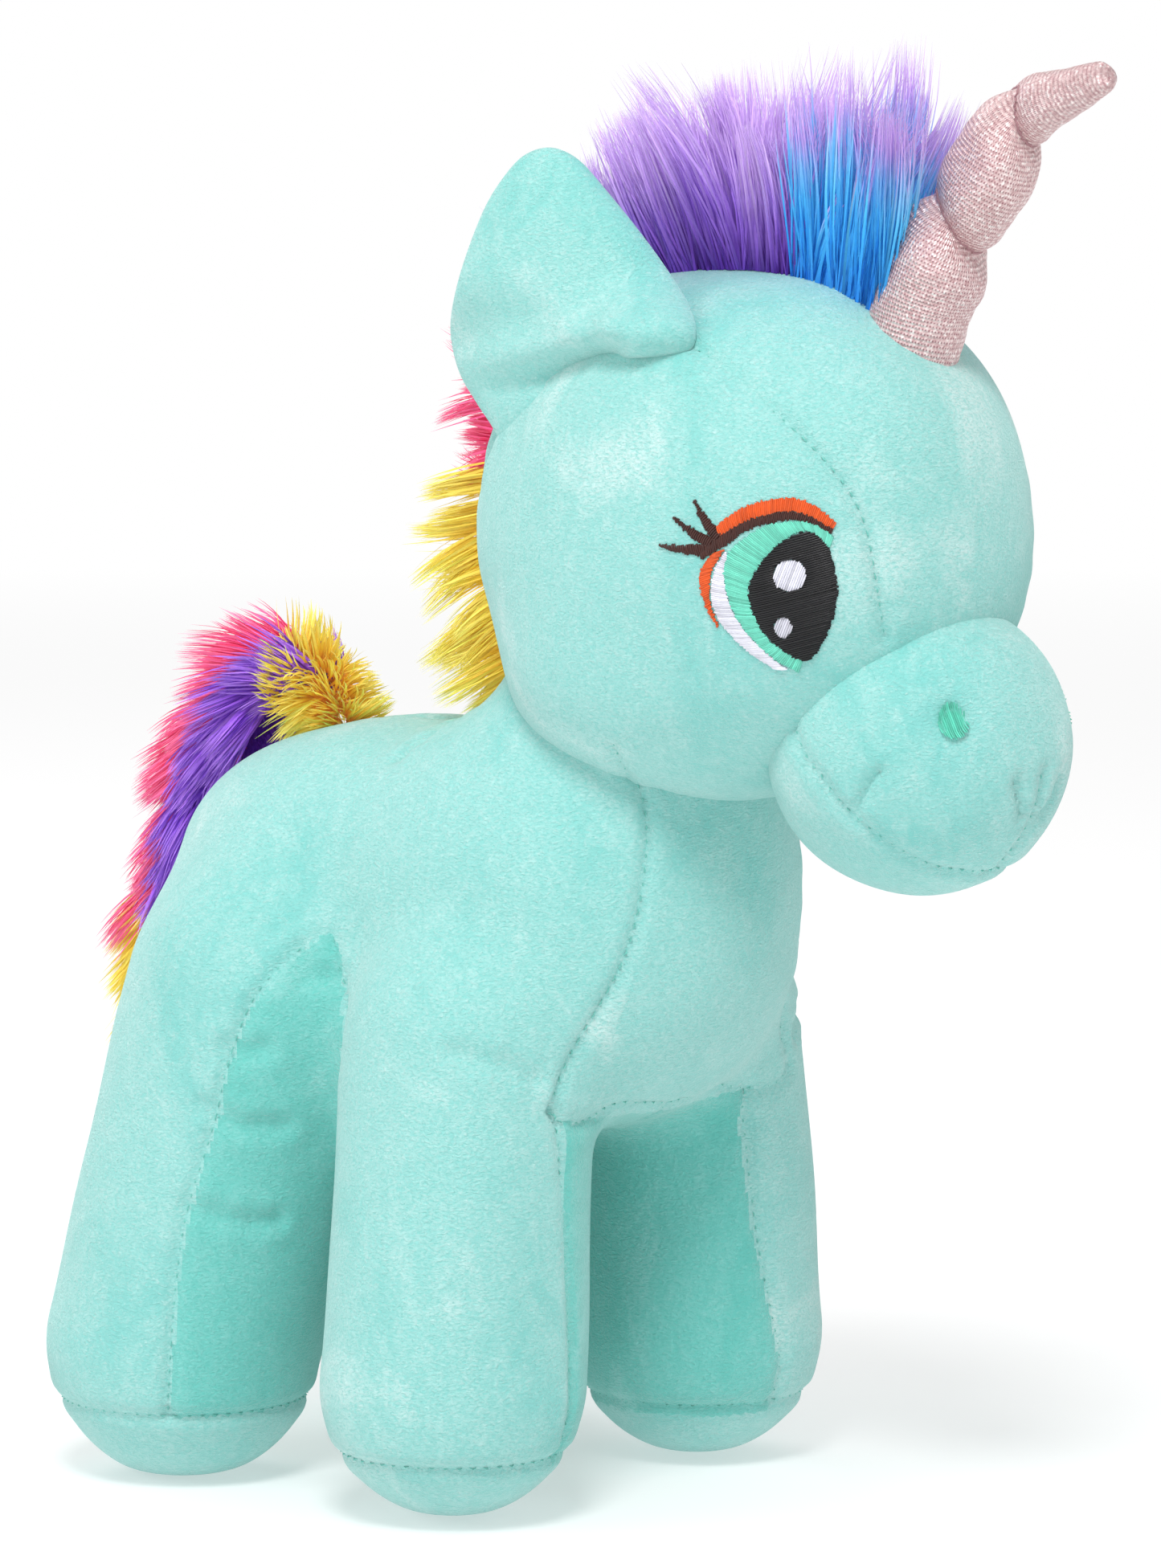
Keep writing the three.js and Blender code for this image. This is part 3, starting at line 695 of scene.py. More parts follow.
line = np.interp(u[:, 1], [y for _, y, _ in MOUTH_LINE[::-1]], [z for _, _, z in MOUTH_LINE[::-1]])
jaw = u[:, 2] < line
seen = head_f(c) >= -5        # the rest is inside the head
muzzle.cut("muzzle_chin_fabric", jaw & seen, "muzzle_chin", "stuffing_muzzle")
for side, s in SIDES:
    muzzle.cut(f"muzzle_fabric_{side}", ~jaw & seen & (c[:, 0] * s > 0), f"muzzle_{side}")
stitches("muzzle_seam_thread", muzzle)


# ---- satin stitch
def local_frame(out):
    """Forward, up and outward directions of a patch that faces out."""
    nrm = np.array(out, float)
    nrm /= np.linalg.norm(nrm)
    fwd = np.cross([0, 0, 1], nrm)
    fwd /= np.linalg.norm(fwd)
    if fwd[1] > 0:
        fwd = -fwd
    up = np.cross(nrm, fwd)
    if up[2] < 0:
        up = -up
    return fwd, up, nrm


EYE_C = np.array([-36.4, -113.72, 186.9])
EYE_AXES = local_frame((-0.848, -0.503, -0.166))


def lay(f, centre, axes, pts, lift):
    """Flat points laid on the surface along the patch's own normal, lifted off it."""
    fwd, up, nrm = axes
    p = centre + pts[:, :1] * fwd + pts[:, 1:2] * up
    for _ in range(6):
        slope = (f(p + 0.2 * nrm) - f(p - 0.2 * nrm)) / 0.4
        p = p - nrm * (f(p) / np.maximum(slope, 0.15))[:, None]
    g = normals_of(f, p)
    return p + g * np.asarray(lift)[..., None], g


def threads(f, centre, axes, rows, colour, radius=0.24, lift=0.35, vary=0.10):
    """Each row, a start and an end in the patch's plane, becomes one raised thread."""
    verts, quads, cols = [], [], []
    for a, b in rows:
        a, b = np.array(a, float), np.array(b, float)
        length = np.linalg.norm(b - a)
        k = max(3, int(length / 1.3) + 2)
        t = np.linspace(0, 1, k)
        path = a + (b - a) * t[:, None]
        arch = np.clip(np.minimum(t, 1 - t) * length / 0.5, 0, 1) ** 0.6
        p, g = lay(f, centre, axes, path, lift * arch + rng.uniform(-0.04, 0.06))
        side = np.cross(units(np.gradient(p, axis=0)), g)
        shade = 1 + rng.normal(0, vary)
        base = len(verts)
        for i in range(k):
            for ang in (0.0, 1.05, 2.09, 3.14, 4.71):
                verts.append(p[i] + radius * (side[i] * math.cos(ang) + g[i] * math.sin(ang)))
                cols.append(np.clip(np.array(colour) * shade, 0, 1))
        quads += wrapped(k, 5, base)
    return np.array(verts), np.array(quads), np.array(cols)


def hatch(outline, angle, pitch=0.42, holes=(), jitter=0.22):
    """Rows that fill a closed outline at one angle."""
    ca, sa = math.cos(angle), math.sin(angle)
    rot = np.array([[ca, sa], [-sa, ca]])
    loops = [np.array(o, float) @ rot.T for o in (outline, *holes)]
    lo, hi = loops[0].min(0), loops[0].max(0)
    rows = []
    for y in np.arange(lo[1] + pitch / 2, hi[1], pitch):
        xs = []
        for lp in loops:
            for p0, p1 in zip(lp, np.roll(lp, -1, axis=0)):
                if (p0[1] > y) != (p1[1] > y):
                    xs.append(p0[0] + (y - p0[1]) * (p1[0] - p0[0]) / (p1[1] - p0[1]))
        xs.sort()
        for x0, x1 in zip(xs[::2], xs[1::2]):
            if x1 - x0 > 0.4:
                j = rng.uniform(-jitter, jitter, 2)
                rows.append((np.array([x0 - 0.1 + j[0], y]) @ rot,
                             np.array([x1 + 0.1 + j[1], y]) @ rot))
    return rows


def band(inner, outer, pitch=0.40, jitter=0.22, slant=0.0):
    """Rows across a band between two edges, as satin stitch runs."""
    a, b = smooth2(inner), smooth2(outer)

    def walk(p, t):
        s = run_of(p)
        return sampled(t * s[-1], s, p)

    total = max(np.linalg.norm(np.diff(p, axis=0), axis=1).sum() for p in (a, b))
    rows = []
    count = max(2, int(total / pitch))
    for i in range(count):
        t = (i + 0.5) / count
        p, r = walk(a, t), walk(b, min(1, max(0, t + slant)))
        d = (r - p) / max(np.linalg.norm(r - p), 1e-6)
        rows.append((p - d * rng.uniform(-jitter, jitter), r + d * rng.uniform(-jitter, jitter)))
    return rows


def smooth2(pts, closed=False, step=0.4):
    p = np.array([(x, y, 0) for x, y in pts], float)
    return curve_through(p, step, closed)[:, :2]


def closed2(*pts):
    return smooth2(pts, closed=True)[:-1]


PUPIL = closed2((2.5, 10.9), (-3, 6.8), (-6.6, 0), (-4, -8), (3.6, -14), (8.1, -8.8), (10.2, -1.4),
                (9.8, 3.7), (8.4, 8.4), (6, 11))
SHINE = closed2((1.3, 6.1), (3.6, 5.2), (4.3, 3.1), (3.4, 0.8), (1.2, 0), (-1, 0.9), (-1.8, 3.1), (-0.9, 5.2))
GLINT = closed2((-0.1, -4.9), (1.7, -7.1), (-0.2, -9.4), (-2, -7.1))
BLACK, WHITE, TEAL = lin(13, 13, 17), lin(228, 228, 240), lin(112, 214, 190)
ORANGE, BROWN, PALE = lin(226, 88, 22), lin(66, 30, 22), lin(205, 205, 216)
EYE_PARTS = [       # part, rows of thread, colour, lift off the fabric, slot
    ("pupil", hatch(PUPIL, 0.25, holes=(SHINE, GLINT)), BLACK, 0.34, "black"),
    ("shine_large", hatch(SHINE, 1.2), WHITE, 0.36, "white"),
    ("shine_small", hatch(GLINT, 1.2), PALE, 0.36, "white"),
    ("iris", band([(8.8, 8.2), (6, 11), (2.5, 11), (-3, 7), (-6.7, 0), (-4.2, -8), (0, -12), (3.4, -14)],
                  [(9.6, 10.3), (6.6, 12.6), (2.2, 13.3), (-4, 12), (-10.5, 7), (-11.4, 2), (-9.6, -4.6),
                   (-6.3, -9.4), (-2.6, -13.2), (2.6, -16.4)]), TEAL, 0.3, "teal"),
    ("white", band([(-10.6, 7), (-11.4, 2), (-9.7, -4.4), (-6.5, -9.2), (-2.6, -13.2), (0.4, -15.8)],
                   [(-11.2, 7.2), (-13.6, 2.6), (-13.8, -2.9), (-12, -7.2), (-7.6, -11.7),
                    (-2.2, -15.6)]), WHITE, 0.28, "white"),
    ("lid_lower", band([(-11.3, 7.6), (-13.8, 3.2), (-14.2, -2.4), (-12.7, -7.2)],
                       [(-13.6, 6.6), (-15.8, 3.7), (-16.1, 0.1), (-15.3, -3.4), (-12.9, -7.7)]),
     ORANGE, 0.34, "orange"),
    ("lid_upper", band([(-12.2, 10), (-6.3, 13.4), (0.4, 15), (4.6, 14.4), (9.4, 11.6)],
                       [(-13.2, 11.8), (-7.4, 15.7), (-0.6, 17.5), (5, 16.7), (10, 13)], slant=0.01),
     ORANGE, 0.36, "orange"),
    ("lashes", band([(-16, 5.2), (-11.3, 8.2), (-6.2, 11.6), (0.6, 13.4), (4.6, 13), (9.2, 10.8)],
                    [(-16.2, 6.8), (-12, 10.4), (-6.3, 13.5), (0.4, 15.1), (4.7, 14.5), (9.4, 12)],
                    slant=0.012)
     + band([(-14.2, 6), (-19, 6.2), (-24, 7.0)], [(-14.4, 8.4), (-19, 7.9), (-24.1, 7.5)], slant=0.05)
     + band([(-14.4, 7.6), (-18, 9.6), (-21.6, 12.6)], [(-12.8, 9.6), (-17, 11), (-21.2, 13)], slant=0.05)
     + band([(-13.2, 9), (-15.6, 12), (-17.5, 16.1)], [(-11.2, 10.6), (-14.2, 13), (-17, 16.3)], slant=0.05),
     BROWN, 0.4, "brown")]
for part, rows, colour, lift, slot in EYE_PARTS:
    tv, tq, tc = threads(head_f, EYE_C, EYE_AXES, rows, colour, lift=lift,
                         vary=0.25 if part == "pupil" else 0.09)
    for side, s in SIDES:
        v, q = to_side(s, tv, tq)
        ob = new_object(f"eye_{part}_stitching_{side}", head.carry(v), q, THREAD, colours=tc)
        piece(ob, "head", (f"eye_{part}_{side}",))

nose_axes = local_frame(normals_of(muzzle_f, NOSTRIL[None])[0])
drop = closed2((-0.6, 3.7), (1.5, 2.8), (2.9, 0.4), (2.5, -2.0), (0.4, -3.2), (-1.8, -2.5), (-3.0, -0.2),
               (-2.4, 2.3))
tv, tq, tc = threads(muzzle_f, NOSTRIL, nose_axes, hatch(drop, 1.9), lin(96, 204, 180), lift=-1.1)
for side, s in SIDES:
    v, q = to_side(s, tv, tq)
    ob = new_object(f"nostril_stitching_{side}", muzzle.carry(v), q, THREAD, colours=tc)
    piece(ob, "head", (f"nostril_{side}",))

# ---- ears
EAR_AT = np.array([-33, -60.1, 244.4])
EAR_N = np.array([-0.95, -0.31, 0.05])         # the way the cupped face looks
EAR_FWD = np.array([0.53, -0.85, 0.0])         # along the ear's foot
VIEW_BACK = np.array([-0.784, -0.613, 0.096])  # the way the ear's cup bends out
EAR_LINE = [(-4.5, 25.9), (-1, 25), (2.4, 22.6), (7, 17.2), (13.4, 9.2), (19, 1.4), (22.6, -5), (24, -10.5),
            (22.8, -14.6), (17, -15.6), (9, -16.2), (3, -19), (-4, -26), (-11.8, -31.5), (-16, -26.5),
            (-20.8, -18.5), (-23.6, -9), (-21.6, 1.5), (-16.8, 14.2), (-12, 21.6), (-8.5, 24.8)]


def ear_mesh(front):
    """One face of the ear: a puffed leaf whose foot follows the head and folds at a pleat."""
    outline = smooth2(EAR_LINE, closed=True, step=1.2)[:-1]
    centre = np.array([0.0, -1.0])
    rings = 22
    m = len(outline)
    share = [math.sin(k / rings * math.pi / 2) for k in range(rings + 1)]
    flat = np.concatenate([centre + (outline - centre) * t for t in share])
    t = np.repeat(share, m)
    u, h = flat[:, 0], flat[:, 1]
    low = np.clip((2 - h) / 14, 0, 1)
    low = low * low * (3 - 2 * low)
    lobe = np.exp(-(np.hypot(u - 17, (h + 11) * 1.2) / 11) ** 2)
    depth = u * (0.22 + 0.40 * low) - 0.006 * u * u - 0.003 * h * h + 1.5 + 4.2 * lobe
    thick = (5.0 + 1.6 * lobe) * (1 - t ** 2.4) ** 0.5
    # the pleat runs from the front corner of the foot back into the leaf
    a, b = np.array([8.0, -15.5]), np.array([-17.0, -20.5])
    ab = b - a
    along = np.clip(((flat - a) @ ab) / (ab @ ab), 0, 1)
    off = flat - a - along[:, None] * ab
    gap = np.linalg.norm(off, axis=1)
    above = off[:, 1] > 0
    tuck = 4.6 * (1 - along ** 1.6) * np.exp(-(gap / 2.4) ** 2)
    swell = 2.2 * (1 - 0.6 * along) * np.exp(-((gap - 5.5) / 3.6) ** 2) * above
    rays = 0.5 * np.sin(np.arctan2(h + 18, u - 6) * 7) * np.exp(-((np.hypot(u + 2, h + 18) - 11) / 8) ** 2)
    face = swell + rays * (1 - t ** 4) - tuck
    out = thick + (face if front else 0.35 * tuck)
    p = (EAR_AT + u[:, None] * EAR_FWD + h[:, None] * np.array([0, 0, 1.0]) + depth[:, None] * VIEW_BACK
         + out[:, None] * (EAR_N * (1 if front else -1)))
    p += EAR_N * (waves(p, 0.25, 20, seed=12) * (1 - t ** 4))[:, None]
    quads = np.array(wrapped(rings + 1, m))
    return p, quads if front else quads[:, [0, 3, 2, 1]]


for side, s in SIDES:
    for face, front, nodes in (("outer", False, (f"ear_outer_{side}",)),
                               ("inner", True, (f"ear_inner_{side}", f"stuffing_ear_{side}"))):
        ob = new_object(f"ear_{face}_fabric_{side}", *to_side(s, *ear_mesh(front)), MINT_EAR)
        sub = ob.modifiers.new("soft", "SUBSURF")
        sub.levels = sub.render_levels = 1
        piece(ob, f"ear_{side}", nodes)

# ---- horn
HORN = [(-113, 221, 9.4), (-115.4, 228, 9.6), (-118, 234.7, 9.7), (-120.2, 241.5, 9.9), (-123, 247.6, 9.9),
        (-125.4, 252, 9.5), (-127.9, 256, 9.0), (-131, 260, 8.7), (-135, 265, 8.7), (-137.5, 269, 8.1),
        (-140, 273, 7.3), (-143, 276, 6.6), (-146, 277.9, 6.1), (-150, 279.3, 5.2), (-154, 280.7, 4.3),
        (-158.5, 282.2, 3.5), (-161.5, 283, 2.9), (-163.2, 283.4, 2.2)]
PINCHES = (37.5, 62.5)       # where the winding thread crosses the seen side, along the horn
SEEN = -2.59                 # the angle round the horn that faces right and forward
SPIRAL = 3.2                 # how far the thread climbs across that side


def thread_along(turn):
    """Height of the winding thread: nearly level in each tuck, climbing behind."""
    k = np.round(turn)
    step = PINCHES[1] - PINCHES[0]
    at = PINCHES[0] + step * k
    seen = at - SPIRAL * np.sin(2 * np.pi * (turn - k))
    lo = np.floor(turn)
    mid = np.clip((turn - lo - 0.25) * 2, 0, 1)
    ease = mid * mid * (3 - 2 * mid)
    behind = PINCHES[0] + step * lo - SPIRAL + (step + 2 * SPIRAL) * ease
    return np.where(np.abs(turn - k) <= 0.25, seen, behind)


def horn_pinch(s, ang):
    """Radius factor of the wound horn: deep tucks under the thread, fuller between."""
    base = ((ang - SEEN) / (2 * np.pi) + 0.5) % 1.0 - 0.5
    factor = np.ones_like(base)
    for k in (0, 1, 2):
        turn = base + k
        d = s - thread_along(turn)
        seen = 0.5 + 0.5 * np.cos(2 * np.pi * turn)
        deep = (0.20 + 0.24 * seen) * (0.25 if k == 2 else 1) * (0.85 if k == 1 else 1)
        wide = 2.0 + 0.9 * seen
        factor = factor - deep * np.exp(-(np.abs(d) / wide) ** 1.35)
        factor = factor + 0.06 * np.exp(-((d + 7) / 4.5) ** 2)
    return factor


def round_horn(row, tan, radius, ang):
    """Points at an angle round one row of the horn."""
    px, pn = radius * np.cos(ang), radius * np.sin(ang)
    return np.stack([px, row[0] + pn * tan[1], row[1] + pn * -tan[0]], -1)


def horn_mesh():
    """Rings of m points up the horn, with uv in sixtieths of a turn and millimetres."""
    rows = curve_through(HORN, 0.6)
    s = run_of(rows[:, :2])
    tan = units(np.gradient(rows[:, :2], axis=0))
    m = 64
    ang = np.arange(m) * 2 * np.pi / m
    verts, uv = [], []
    for i, row in enumerate(rows):
        wob = 1 + 0.012 * np.sin(3 * ang + s[i] * 0.4) + 0.008 * np.sin(9 * ang - s[i] * 1.3)
        cap = math.sqrt(max(0.0, 1 - max(0.0, (s[i] - (s[-1] - 2.2)) / 2.2) ** 2))
        radius = row[2] * horn_pinch(s[i], ang) * wob * max(cap, 0.05)
        verts.append(round_horn(row, tan[i], radius, ang))
        uv.append(np.column_stack([ang / (2 * np.pi) * 60, np.full(m, s[i])]))
    quads = np.array(wrapped(len(rows), m))
    return np.concatenate(verts), quads, np.concatenate(uv), rows, s, tan


def maths(nt, operation, *values):
    """A maths node; each value is a number or another node's output."""
    node = nt.nodes.new("ShaderNodeMath")
    node.operation = operation
    for value, socket in zip(values, node.inputs):
        if hasattr(value, "links"):
            nt.links.new(value, socket)
        else:
            socket.default_value = value
    return node.outputs[0]


def horn_material():
    m, nt, bsdf, new, link, here = nodes_of("metallic_knit")
    uv = new("ShaderNodeUVMap")
    uv.uv_map = "UVMap"
    sep = new("ShaderNodeSeparateXYZ")
    link(uv.outputs["UV"], sep.inputs[0])

    def wave(across):
        """Slanting ridges, 1.25 units apart round the horn and 1.7 mm along it."""
        first = maths(nt, "MULTIPLY", sep.outputs[0], across * 2 * math.pi / 1.25)
        return maths(nt, "SINE", maths(nt, "MULTIPLY_ADD", sep.outputs[1], 2 * math.pi / 1.7, first))

    knit = maths(nt, "MULTIPLY", wave(1), wave(-1))
    sparkle = noise(nt, here, 1500, 1)
    tone = ramp(nt, sparkle, [(0.32, lin(204, 166, 168)), (0.55, lin(228, 200, 200)),
                              (0.72, lin(252, 240, 238))])
    dots = levels(nt, knit, (0.45, 0), (0.7, 0.72))
    link(mix(nt, dots, tone, lin(128, 66, 80)), bsdf.inputs["Base Color"])
    link(levels(nt, sparkle, (0.35, 0.55), (0.65, 0.28)), bsdf.inputs["Roughness"])
    bsdf.inputs["Metallic"].default_value = 0.45
    first = bump(nt, bsdf, knit, 0.0003, 0.5)
    bump(nt, bsdf, sparkle, 0.0003, 0.5, first)
    return m


hv, hq, huv, hrows, hs, htan = horn_mesh()
ob = new_object("horn_fabric", hv, hq, horn_material(), uv=huv)
piece(ob, "horn", ("horn_skin", "stuffing_horn"))
wind = []
for turn in np.arange(-0.42, 1.45, 0.012):
    along = float(thread_along(np.array(turn)))
    ang = 2 * math.pi * turn + SEEN
    i = min(max(int(np.searchsorted(hs, along)), 0), len(hs) - 1)
    radius = hrows[i][2] * horn_pinch(hs[i], np.array(ang)) + 0.05
    wind.append(round_horn(hrows[i], htan[i], radius, ang))


def tube(path, radius, sides=6):
    p = np.array(path, float)
    tan = units(np.gradient(p, axis=0))
    a = units(np.cross(tan, np.array([0.3, 0.2, 0.93])))
    b = np.cross(tan, a)
    verts = [p + radius * (a * math.cos(t) + b * math.sin(t))
             for t in np.arange(sides) * 2 * math.pi / sides]
    return np.stack(verts, 1).reshape(-1, 3), np.array(wrapped(len(p), sides))


tv, tq = tube(wind, 0.28)
ob = new_object("horn_winding_thread", tv, tq, sewing_thread("rose_thread", lin(176, 132, 138)))
piece(ob, "horn", ("horn_thread",))


# ---- long pile
def strands(roots, dirs, length, bend, width, colours_at, clumps, clump_pull=0.8):
    """Tapered flat fibres that lean into tufts; colours_at(t) gives every fibre's colours."""
    count, segs = len(roots), 6
    lead = rng.choice(count, min(clumps, count), replace=False)
    dirs = dirs.copy()
    dirs[lead] += rng.normal(0, 0.15, (len(lead), 3))
    dirs = units(dirs + rng.normal(0, 0.10, (count, 3)))
    length = length * rng.uniform(0.8, 1.06, count)
    t = np.linspace(0, 1, segs + 1)
    wob = rng.normal(0, 0.05, (count, 3))
    path = (roots[:, None] + dirs[:, None] * (length[:, None] * t)[..., None]
            + (bend + wob)[:, None] * (length[:, None] * t ** 2)[..., None])
    d = np.linalg.norm(roots[:, None] - roots[lead][None], axis=2)
    which = np.argmin(d + rng.uniform(0, 0.8, d.shape), axis=1)
    mine = lead[which]
    tall = np.clip(rng.normal(0.88, 0.18, len(lead)), 0.5, 1.2)[which]
    path = roots[:, None] + (path - roots[:, None]) * tall[:, None, None]
    pull = clump_pull * rng.uniform(0.55, 1.1, count)
    mid = path[mine] + (roots - roots[mine])[:, None] * 0.12
    path = path + (mid - path) * (pull[:, None] * t ** 1.1)[..., None]
    tan = units(np.gradient(path, axis=1))
    side = units(np.cross(tan, rng.normal(size=(count, 3))[:, None]))
    w = (width * rng.uniform(0.7, 1.4, count))[:, None] * np.clip(1 - t ** 2.2, 0.04, 1)
    left, right = path - side * w[..., None] / 2, path + side * w[..., None] / 2
    verts = np.stack([left, right], 2).reshape(-1, 3)
    base = (np.arange(count) * (segs + 1) * 2)[:, None]
    k = np.arange(segs) * 2
    quads = np.stack([base + k, base + k + 1, base + k + 3, base + k + 2], -1).reshape(-1, 4)
    cols = np.repeat(colours_at(t).reshape(-1, 3), 2, axis=0)
    return verts, quads, np.clip(cols, 0, 1)


def fade(stops, count):
    """Colour along a fibre from stops (t, colour), with each fibre a little lighter or darker."""
    shade = 1 + rng.normal(0, 0.12, count)
    at, colours = zip(*stops)
    return lambda t: sampled(t, at, np.array(colours)) * shade[:, None, None]


def on_head(phi, x):
    """Point on the middle of the head, phi degrees back from the top, x to the side."""
    a = np.radians(phi)
    p = np.column_stack([x, HEAD_C[1] + HEAD_R[1] * np.sin(a), HEAD_C[2] + HEAD_R[2] * np.cos(a)])
    return settle(head_f, p, 3)


def mane(where, colour, lo, hi, count, stops, clumps, bend_z=-0.05):
    """A length of the mane, from lo to hi degrees back from the head's top."""
    half = 7.5      # of the width of the strip it grows on
    phi = rng.uniform(lo, hi, count)
    x = rng.uniform(-half, half, count)
    roots = on_head(phi, x) - np.array([0, 0, 0.6])
    lean = np.radians(np.interp(phi, [-40, -25, 0, 25, 60, 85, 105, 126],
                                [-28, -20, -2, 30, 76, 100, 114, 122]))
    dirs = np.column_stack([x / half * 0.30, np.sin(lean), np.cos(lean)])
    length = np.interp(phi, [-40, -20, 0, 30, 60, 90, 120], [36, 43, 44, 29, 20, 20, 22])
    bend = np.column_stack([x / half * 0.05, 0 * x, np.full(count, bend_z)])
    v, q, col = strands(roots, dirs, length, bend, 0.5, fade(stops, count), clumps)
    ob = new_object(f"mane_{where}_pile_{colour}", v, q, FUR, colours=col)
    piece(ob, "head", (f"mane_{where}_{colour}",))


# Fibres run from dark roots to light tips; the dark roots are painted shade from among the fibres.
DEEP, VIOLET, LILAC = lin(100, 56, 170), lin(160, 112, 220), lin(210, 174, 242)
BLUE, SKY, PINK = lin(64, 176, 244), lin(104, 204, 250), lin(250, 80, 136)
AMBER, GOLD, YELLOW, LIME = lin(255, 196, 66), lin(255, 218, 84), lin(255, 232, 110), lin(255, 240, 130)
mane("forelock", "blue", -37, -14, 2300,
     [(0, lin(50, 140, 226)), (0.3, BLUE), (0.62, SKY), (0.8, LILAC), (1, lin(220, 190, 246))], 30)
mane("crown", "purple", -16, 48, 6000,
     [(0, DEEP), (0.3, VIOLET), (0.65, LILAC), (1, lin(222, 192, 248))], 76)
mane("nape", "pink", 44, 80, 2600, [(0, lin(214, 50, 100)), (0.4, PINK), (1, lin(255, 120, 160))], 36)
mane("nape", "yellow", 76, 126, 3200, [(0, AMBER), (0.35, GOLD), (0.75, YELLOW), (1, LIME)], 46,
     bend_z=-0.15)

TAIL = [(25, 151), (31, 159), (41, 161), (51, 153), (59, 139), (65, 121), (71, 106), (76, 94)]


def tail_pile(name, node, lo, hi, count, stops, where, radius=6.0, length=15,
              along=0.75, clumps=80):
    """Fibres on a cord that arches over the rump. where(a) keeps a range of angles round the cord."""
    line = curve_through([(0, y, z) for y, z in TAIL], 0.5)
    s = np.linspace(0, 1, len(line))
    t = rng.uniform(lo, hi, count)
    a = where(rng.uniform(0, 1, count))
    p = sampled(t, s, line)
    tn = sampled(t, s, units(np.gradient(line, axis=0)))
    inner = np.column_stack([0 * t, tn[:, 2], -tn[:, 1]])
    inner *= np.sign((inner * np.array([0, -1, -0.3])).sum(1))[:, None]
    radial = np.sin(a)[:, None] * np.array([1.0, 0, 0]) - np.cos(a)[:, None] * inner
    size = np.interp(t, [0, 0.15, 0.75, 1], [0.5, 1, 0.9, 0.35])
    roots = p + radial * (radius * size)[:, None]
    dirs = radial * 0.72 + tn * along
    bend = tn * 0.15 + np.array([0, 0, -0.10])
    v, q, col = strands(roots, dirs, length * (0.6 + 0.4 * size), bend, 0.6, fade(stops, count), clumps, 0.5)
    ob = new_object(name, v, q, FUR, colours=col)
    piece(ob, "tail", (node,))


def all_round(r):
    return r * 6.28


# As on the mane, the darker roots of the tail fibres are painted shade from among the fibres.
tail_pile("tail_pile_pink", "tail_pink", 0.18, 0.78, 3400,
          [(0, lin(214, 50, 110)), (0.4, PINK), (1, lin(255, 128, 170))], lambda r: (r - 0.5) * 2.8)
tail_pile("tail_pile_purple", "tail_purple", 0.1, 0.76, 3200,
          [(0, lin(104, 50, 176)), (0.45, lin(148, 84, 218)), (1, lin(186, 134, 236))],
          lambda r: np.where(r < 0.5, 1.15 + r * 2.6, -1.15 - (r - 0.5) * 2.6))
tail_pile("tail_pile_tuft", "tail_tuft_yellow", 0.0, 0.2, 1300,
          [(0, lin(244, 164, 80)), (0.3, GOLD), (1, LIME)], all_round, 5.0, 13, -0.1, 30)
tail_pile("tail_pile_tip", "tail_tip_yellow", 0.72, 1.0, 2400,
          [(0, AMBER), (0.5, GOLD), (1, YELLOW)], all_round, 5.5, 17, 1.1, 36)

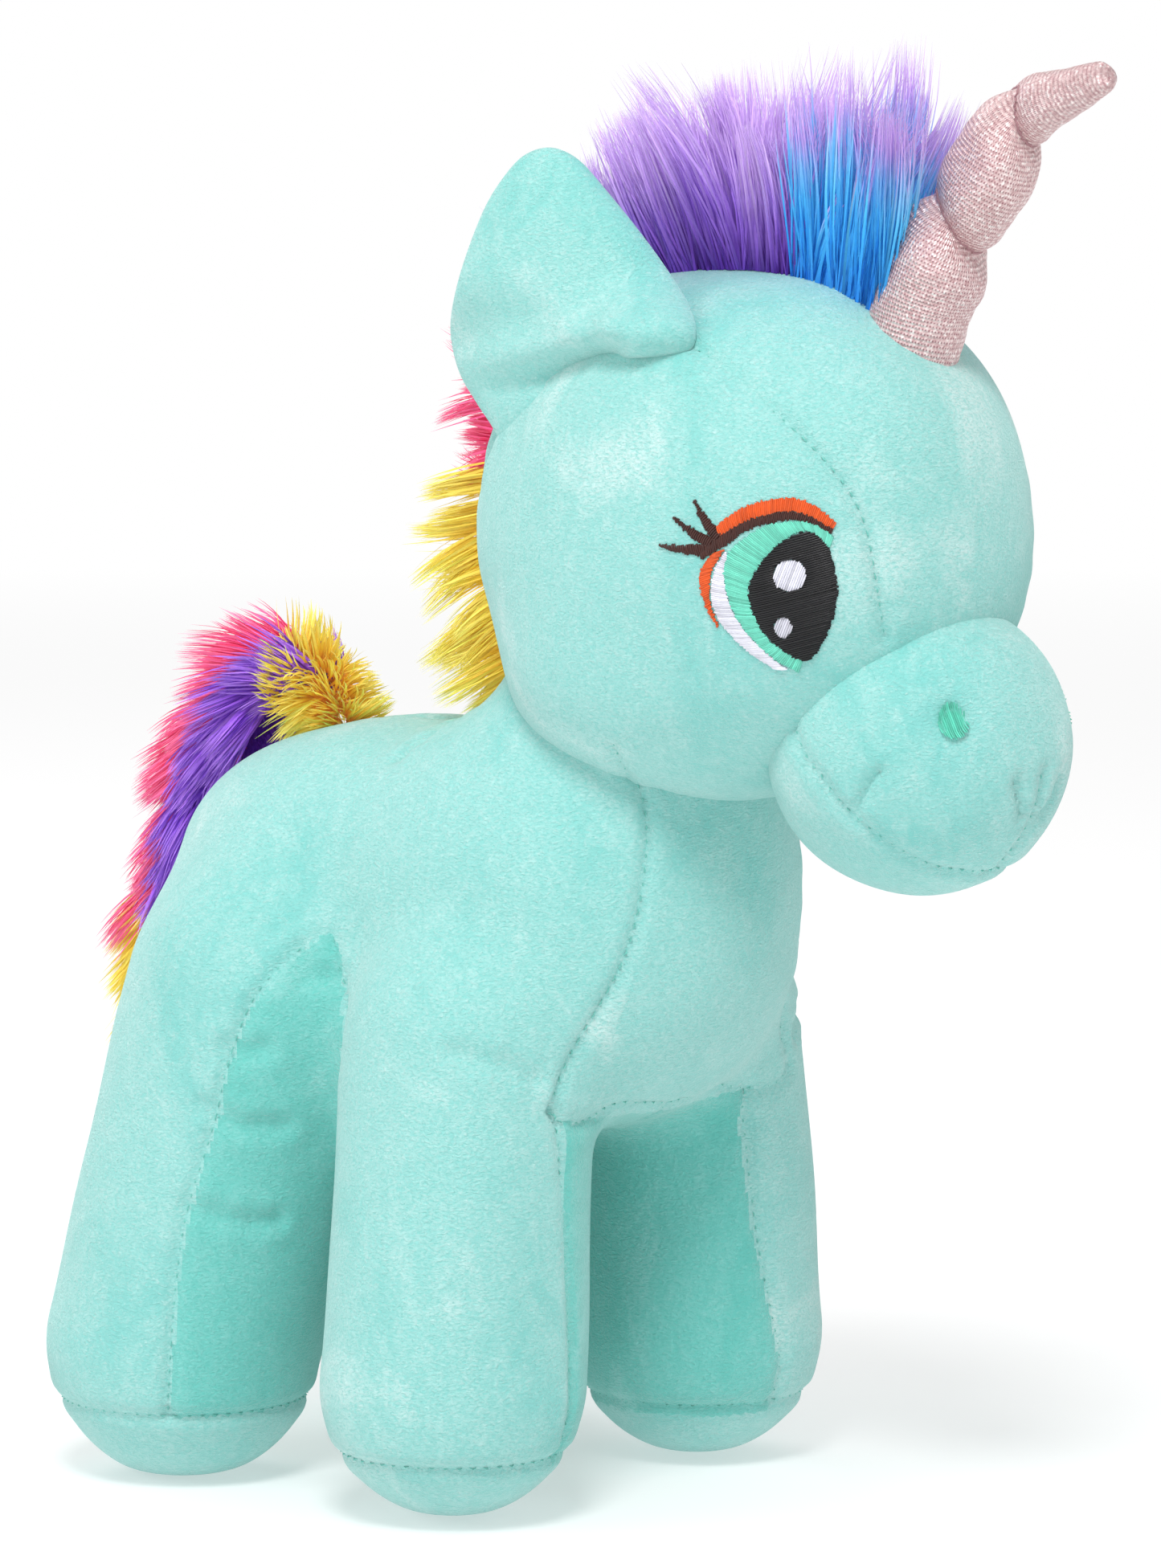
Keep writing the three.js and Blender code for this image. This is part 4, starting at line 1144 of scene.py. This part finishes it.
# ---- camera, light, floor
PHI, ELEV, DIST = math.radians(52.0), math.radians(5.5), 1.300
PER_PX, IMAGE_HEIGHT, SENSOR = 0.164, 1952.0, 36.0      # millimetres a pixel at the target
TARGET = Vector((0.0157, (-24.5 + SHIFT[1]) * MM, 0.141))
back = Vector((-math.sin(PHI) * math.cos(ELEV), -math.cos(PHI) * math.cos(ELEV), math.sin(ELEV)))
right = Vector((math.cos(PHI), -math.sin(PHI), 0))
up = back.cross(right)
cam = bpy.data.cameras.new("camera")
cam.sensor_width = SENSOR
cam.lens = (DIST / MM / PER_PX) * SENSOR / IMAGE_HEIGHT
cam.clip_start = 0.05
cam_ob = linked("camera", cam)
rot = Matrix((right, up, back)).transposed().to_4x4()
cam_ob.matrix_world = Matrix.Translation(TARGET + back * DIST) @ rot
scene.camera = cam_ob


LIGHTS = [("key", (-1.0, -0.6, 1.75), 0.6, 23.0), ("front", (-0.2, -1.8, 0.8), 1.2, 2.0),
          ("rim", (0.6, 1.4, 1.3), 1.0, 7.0), ("rear_side", (-1.5, 0.7, 0.9), 0.9, 6.0),
          ("side", (1.5, -0.6, 0.9), 1.0, 1.0)]
for name, at, size, power in LIGHTS:
    lamp = bpy.data.lights.new(name, "AREA")
    lamp.shape = "DISK"
    lamp.size = size
    lamp.energy = power
    ob = linked(name, lamp)
    ob.location = at
    ob.rotation_euler = (Vector((0, 0, 0.13)) - Vector(at)).to_track_quat("-Z", "Y").to_euler()

world = bpy.data.worlds.new("studio")
world.use_nodes = True
nt = world.node_tree
tc = nt.nodes.new("ShaderNodeTexCoord")
sep = nt.nodes.new("ShaderNodeSeparateXYZ")
nt.links.new(tc.outputs["Generated"], sep.inputs[0])
# white at the horizon, dimmer above it, brighter again overhead
dome = levels(nt, sep.outputs["Z"], (0, 1), (0.16, 1), (0.3, 0.24), (0.62, 0.34), (0.85, 0.8))
nt.links.new(dome, nt.nodes["Background"].inputs["Color"])
nt.nodes["Background"].inputs["Strength"].default_value = 1.0
scene.world = world
scene.view_settings.view_transform = "Standard"

m, nt, bsdf, new, link, here = nodes_of("pale_floor")
away = new("ShaderNodeVectorMath")
away.operation = "LENGTH"
link(here, away.inputs[0])
tens = maths(nt, "DIVIDE", away.outputs["Value"], 10.0)
# lit floor near the toy, fading with distance into plain white
link(levels(nt, tens, (0.03, 0.62), (0.3, 0)), bsdf.inputs["Base Color"])
link(levels(nt, tens, (0.03, 0.42), (0.3, 1)), bsdf.inputs["Emission Color"])
dial(bsdf, {"Emission Strength": 1.0, "Specular IOR Level": 0.0, "Roughness": 0.9})
me = bpy.data.meshes.new("floor")
me.from_pydata([(-40, -40, 0), (40, -40, 0), (40, 40, 0), (-40, 40, 0)], [], [(0, 1, 2, 3)])
me.materials.append(m)
floor = linked("floor", me)
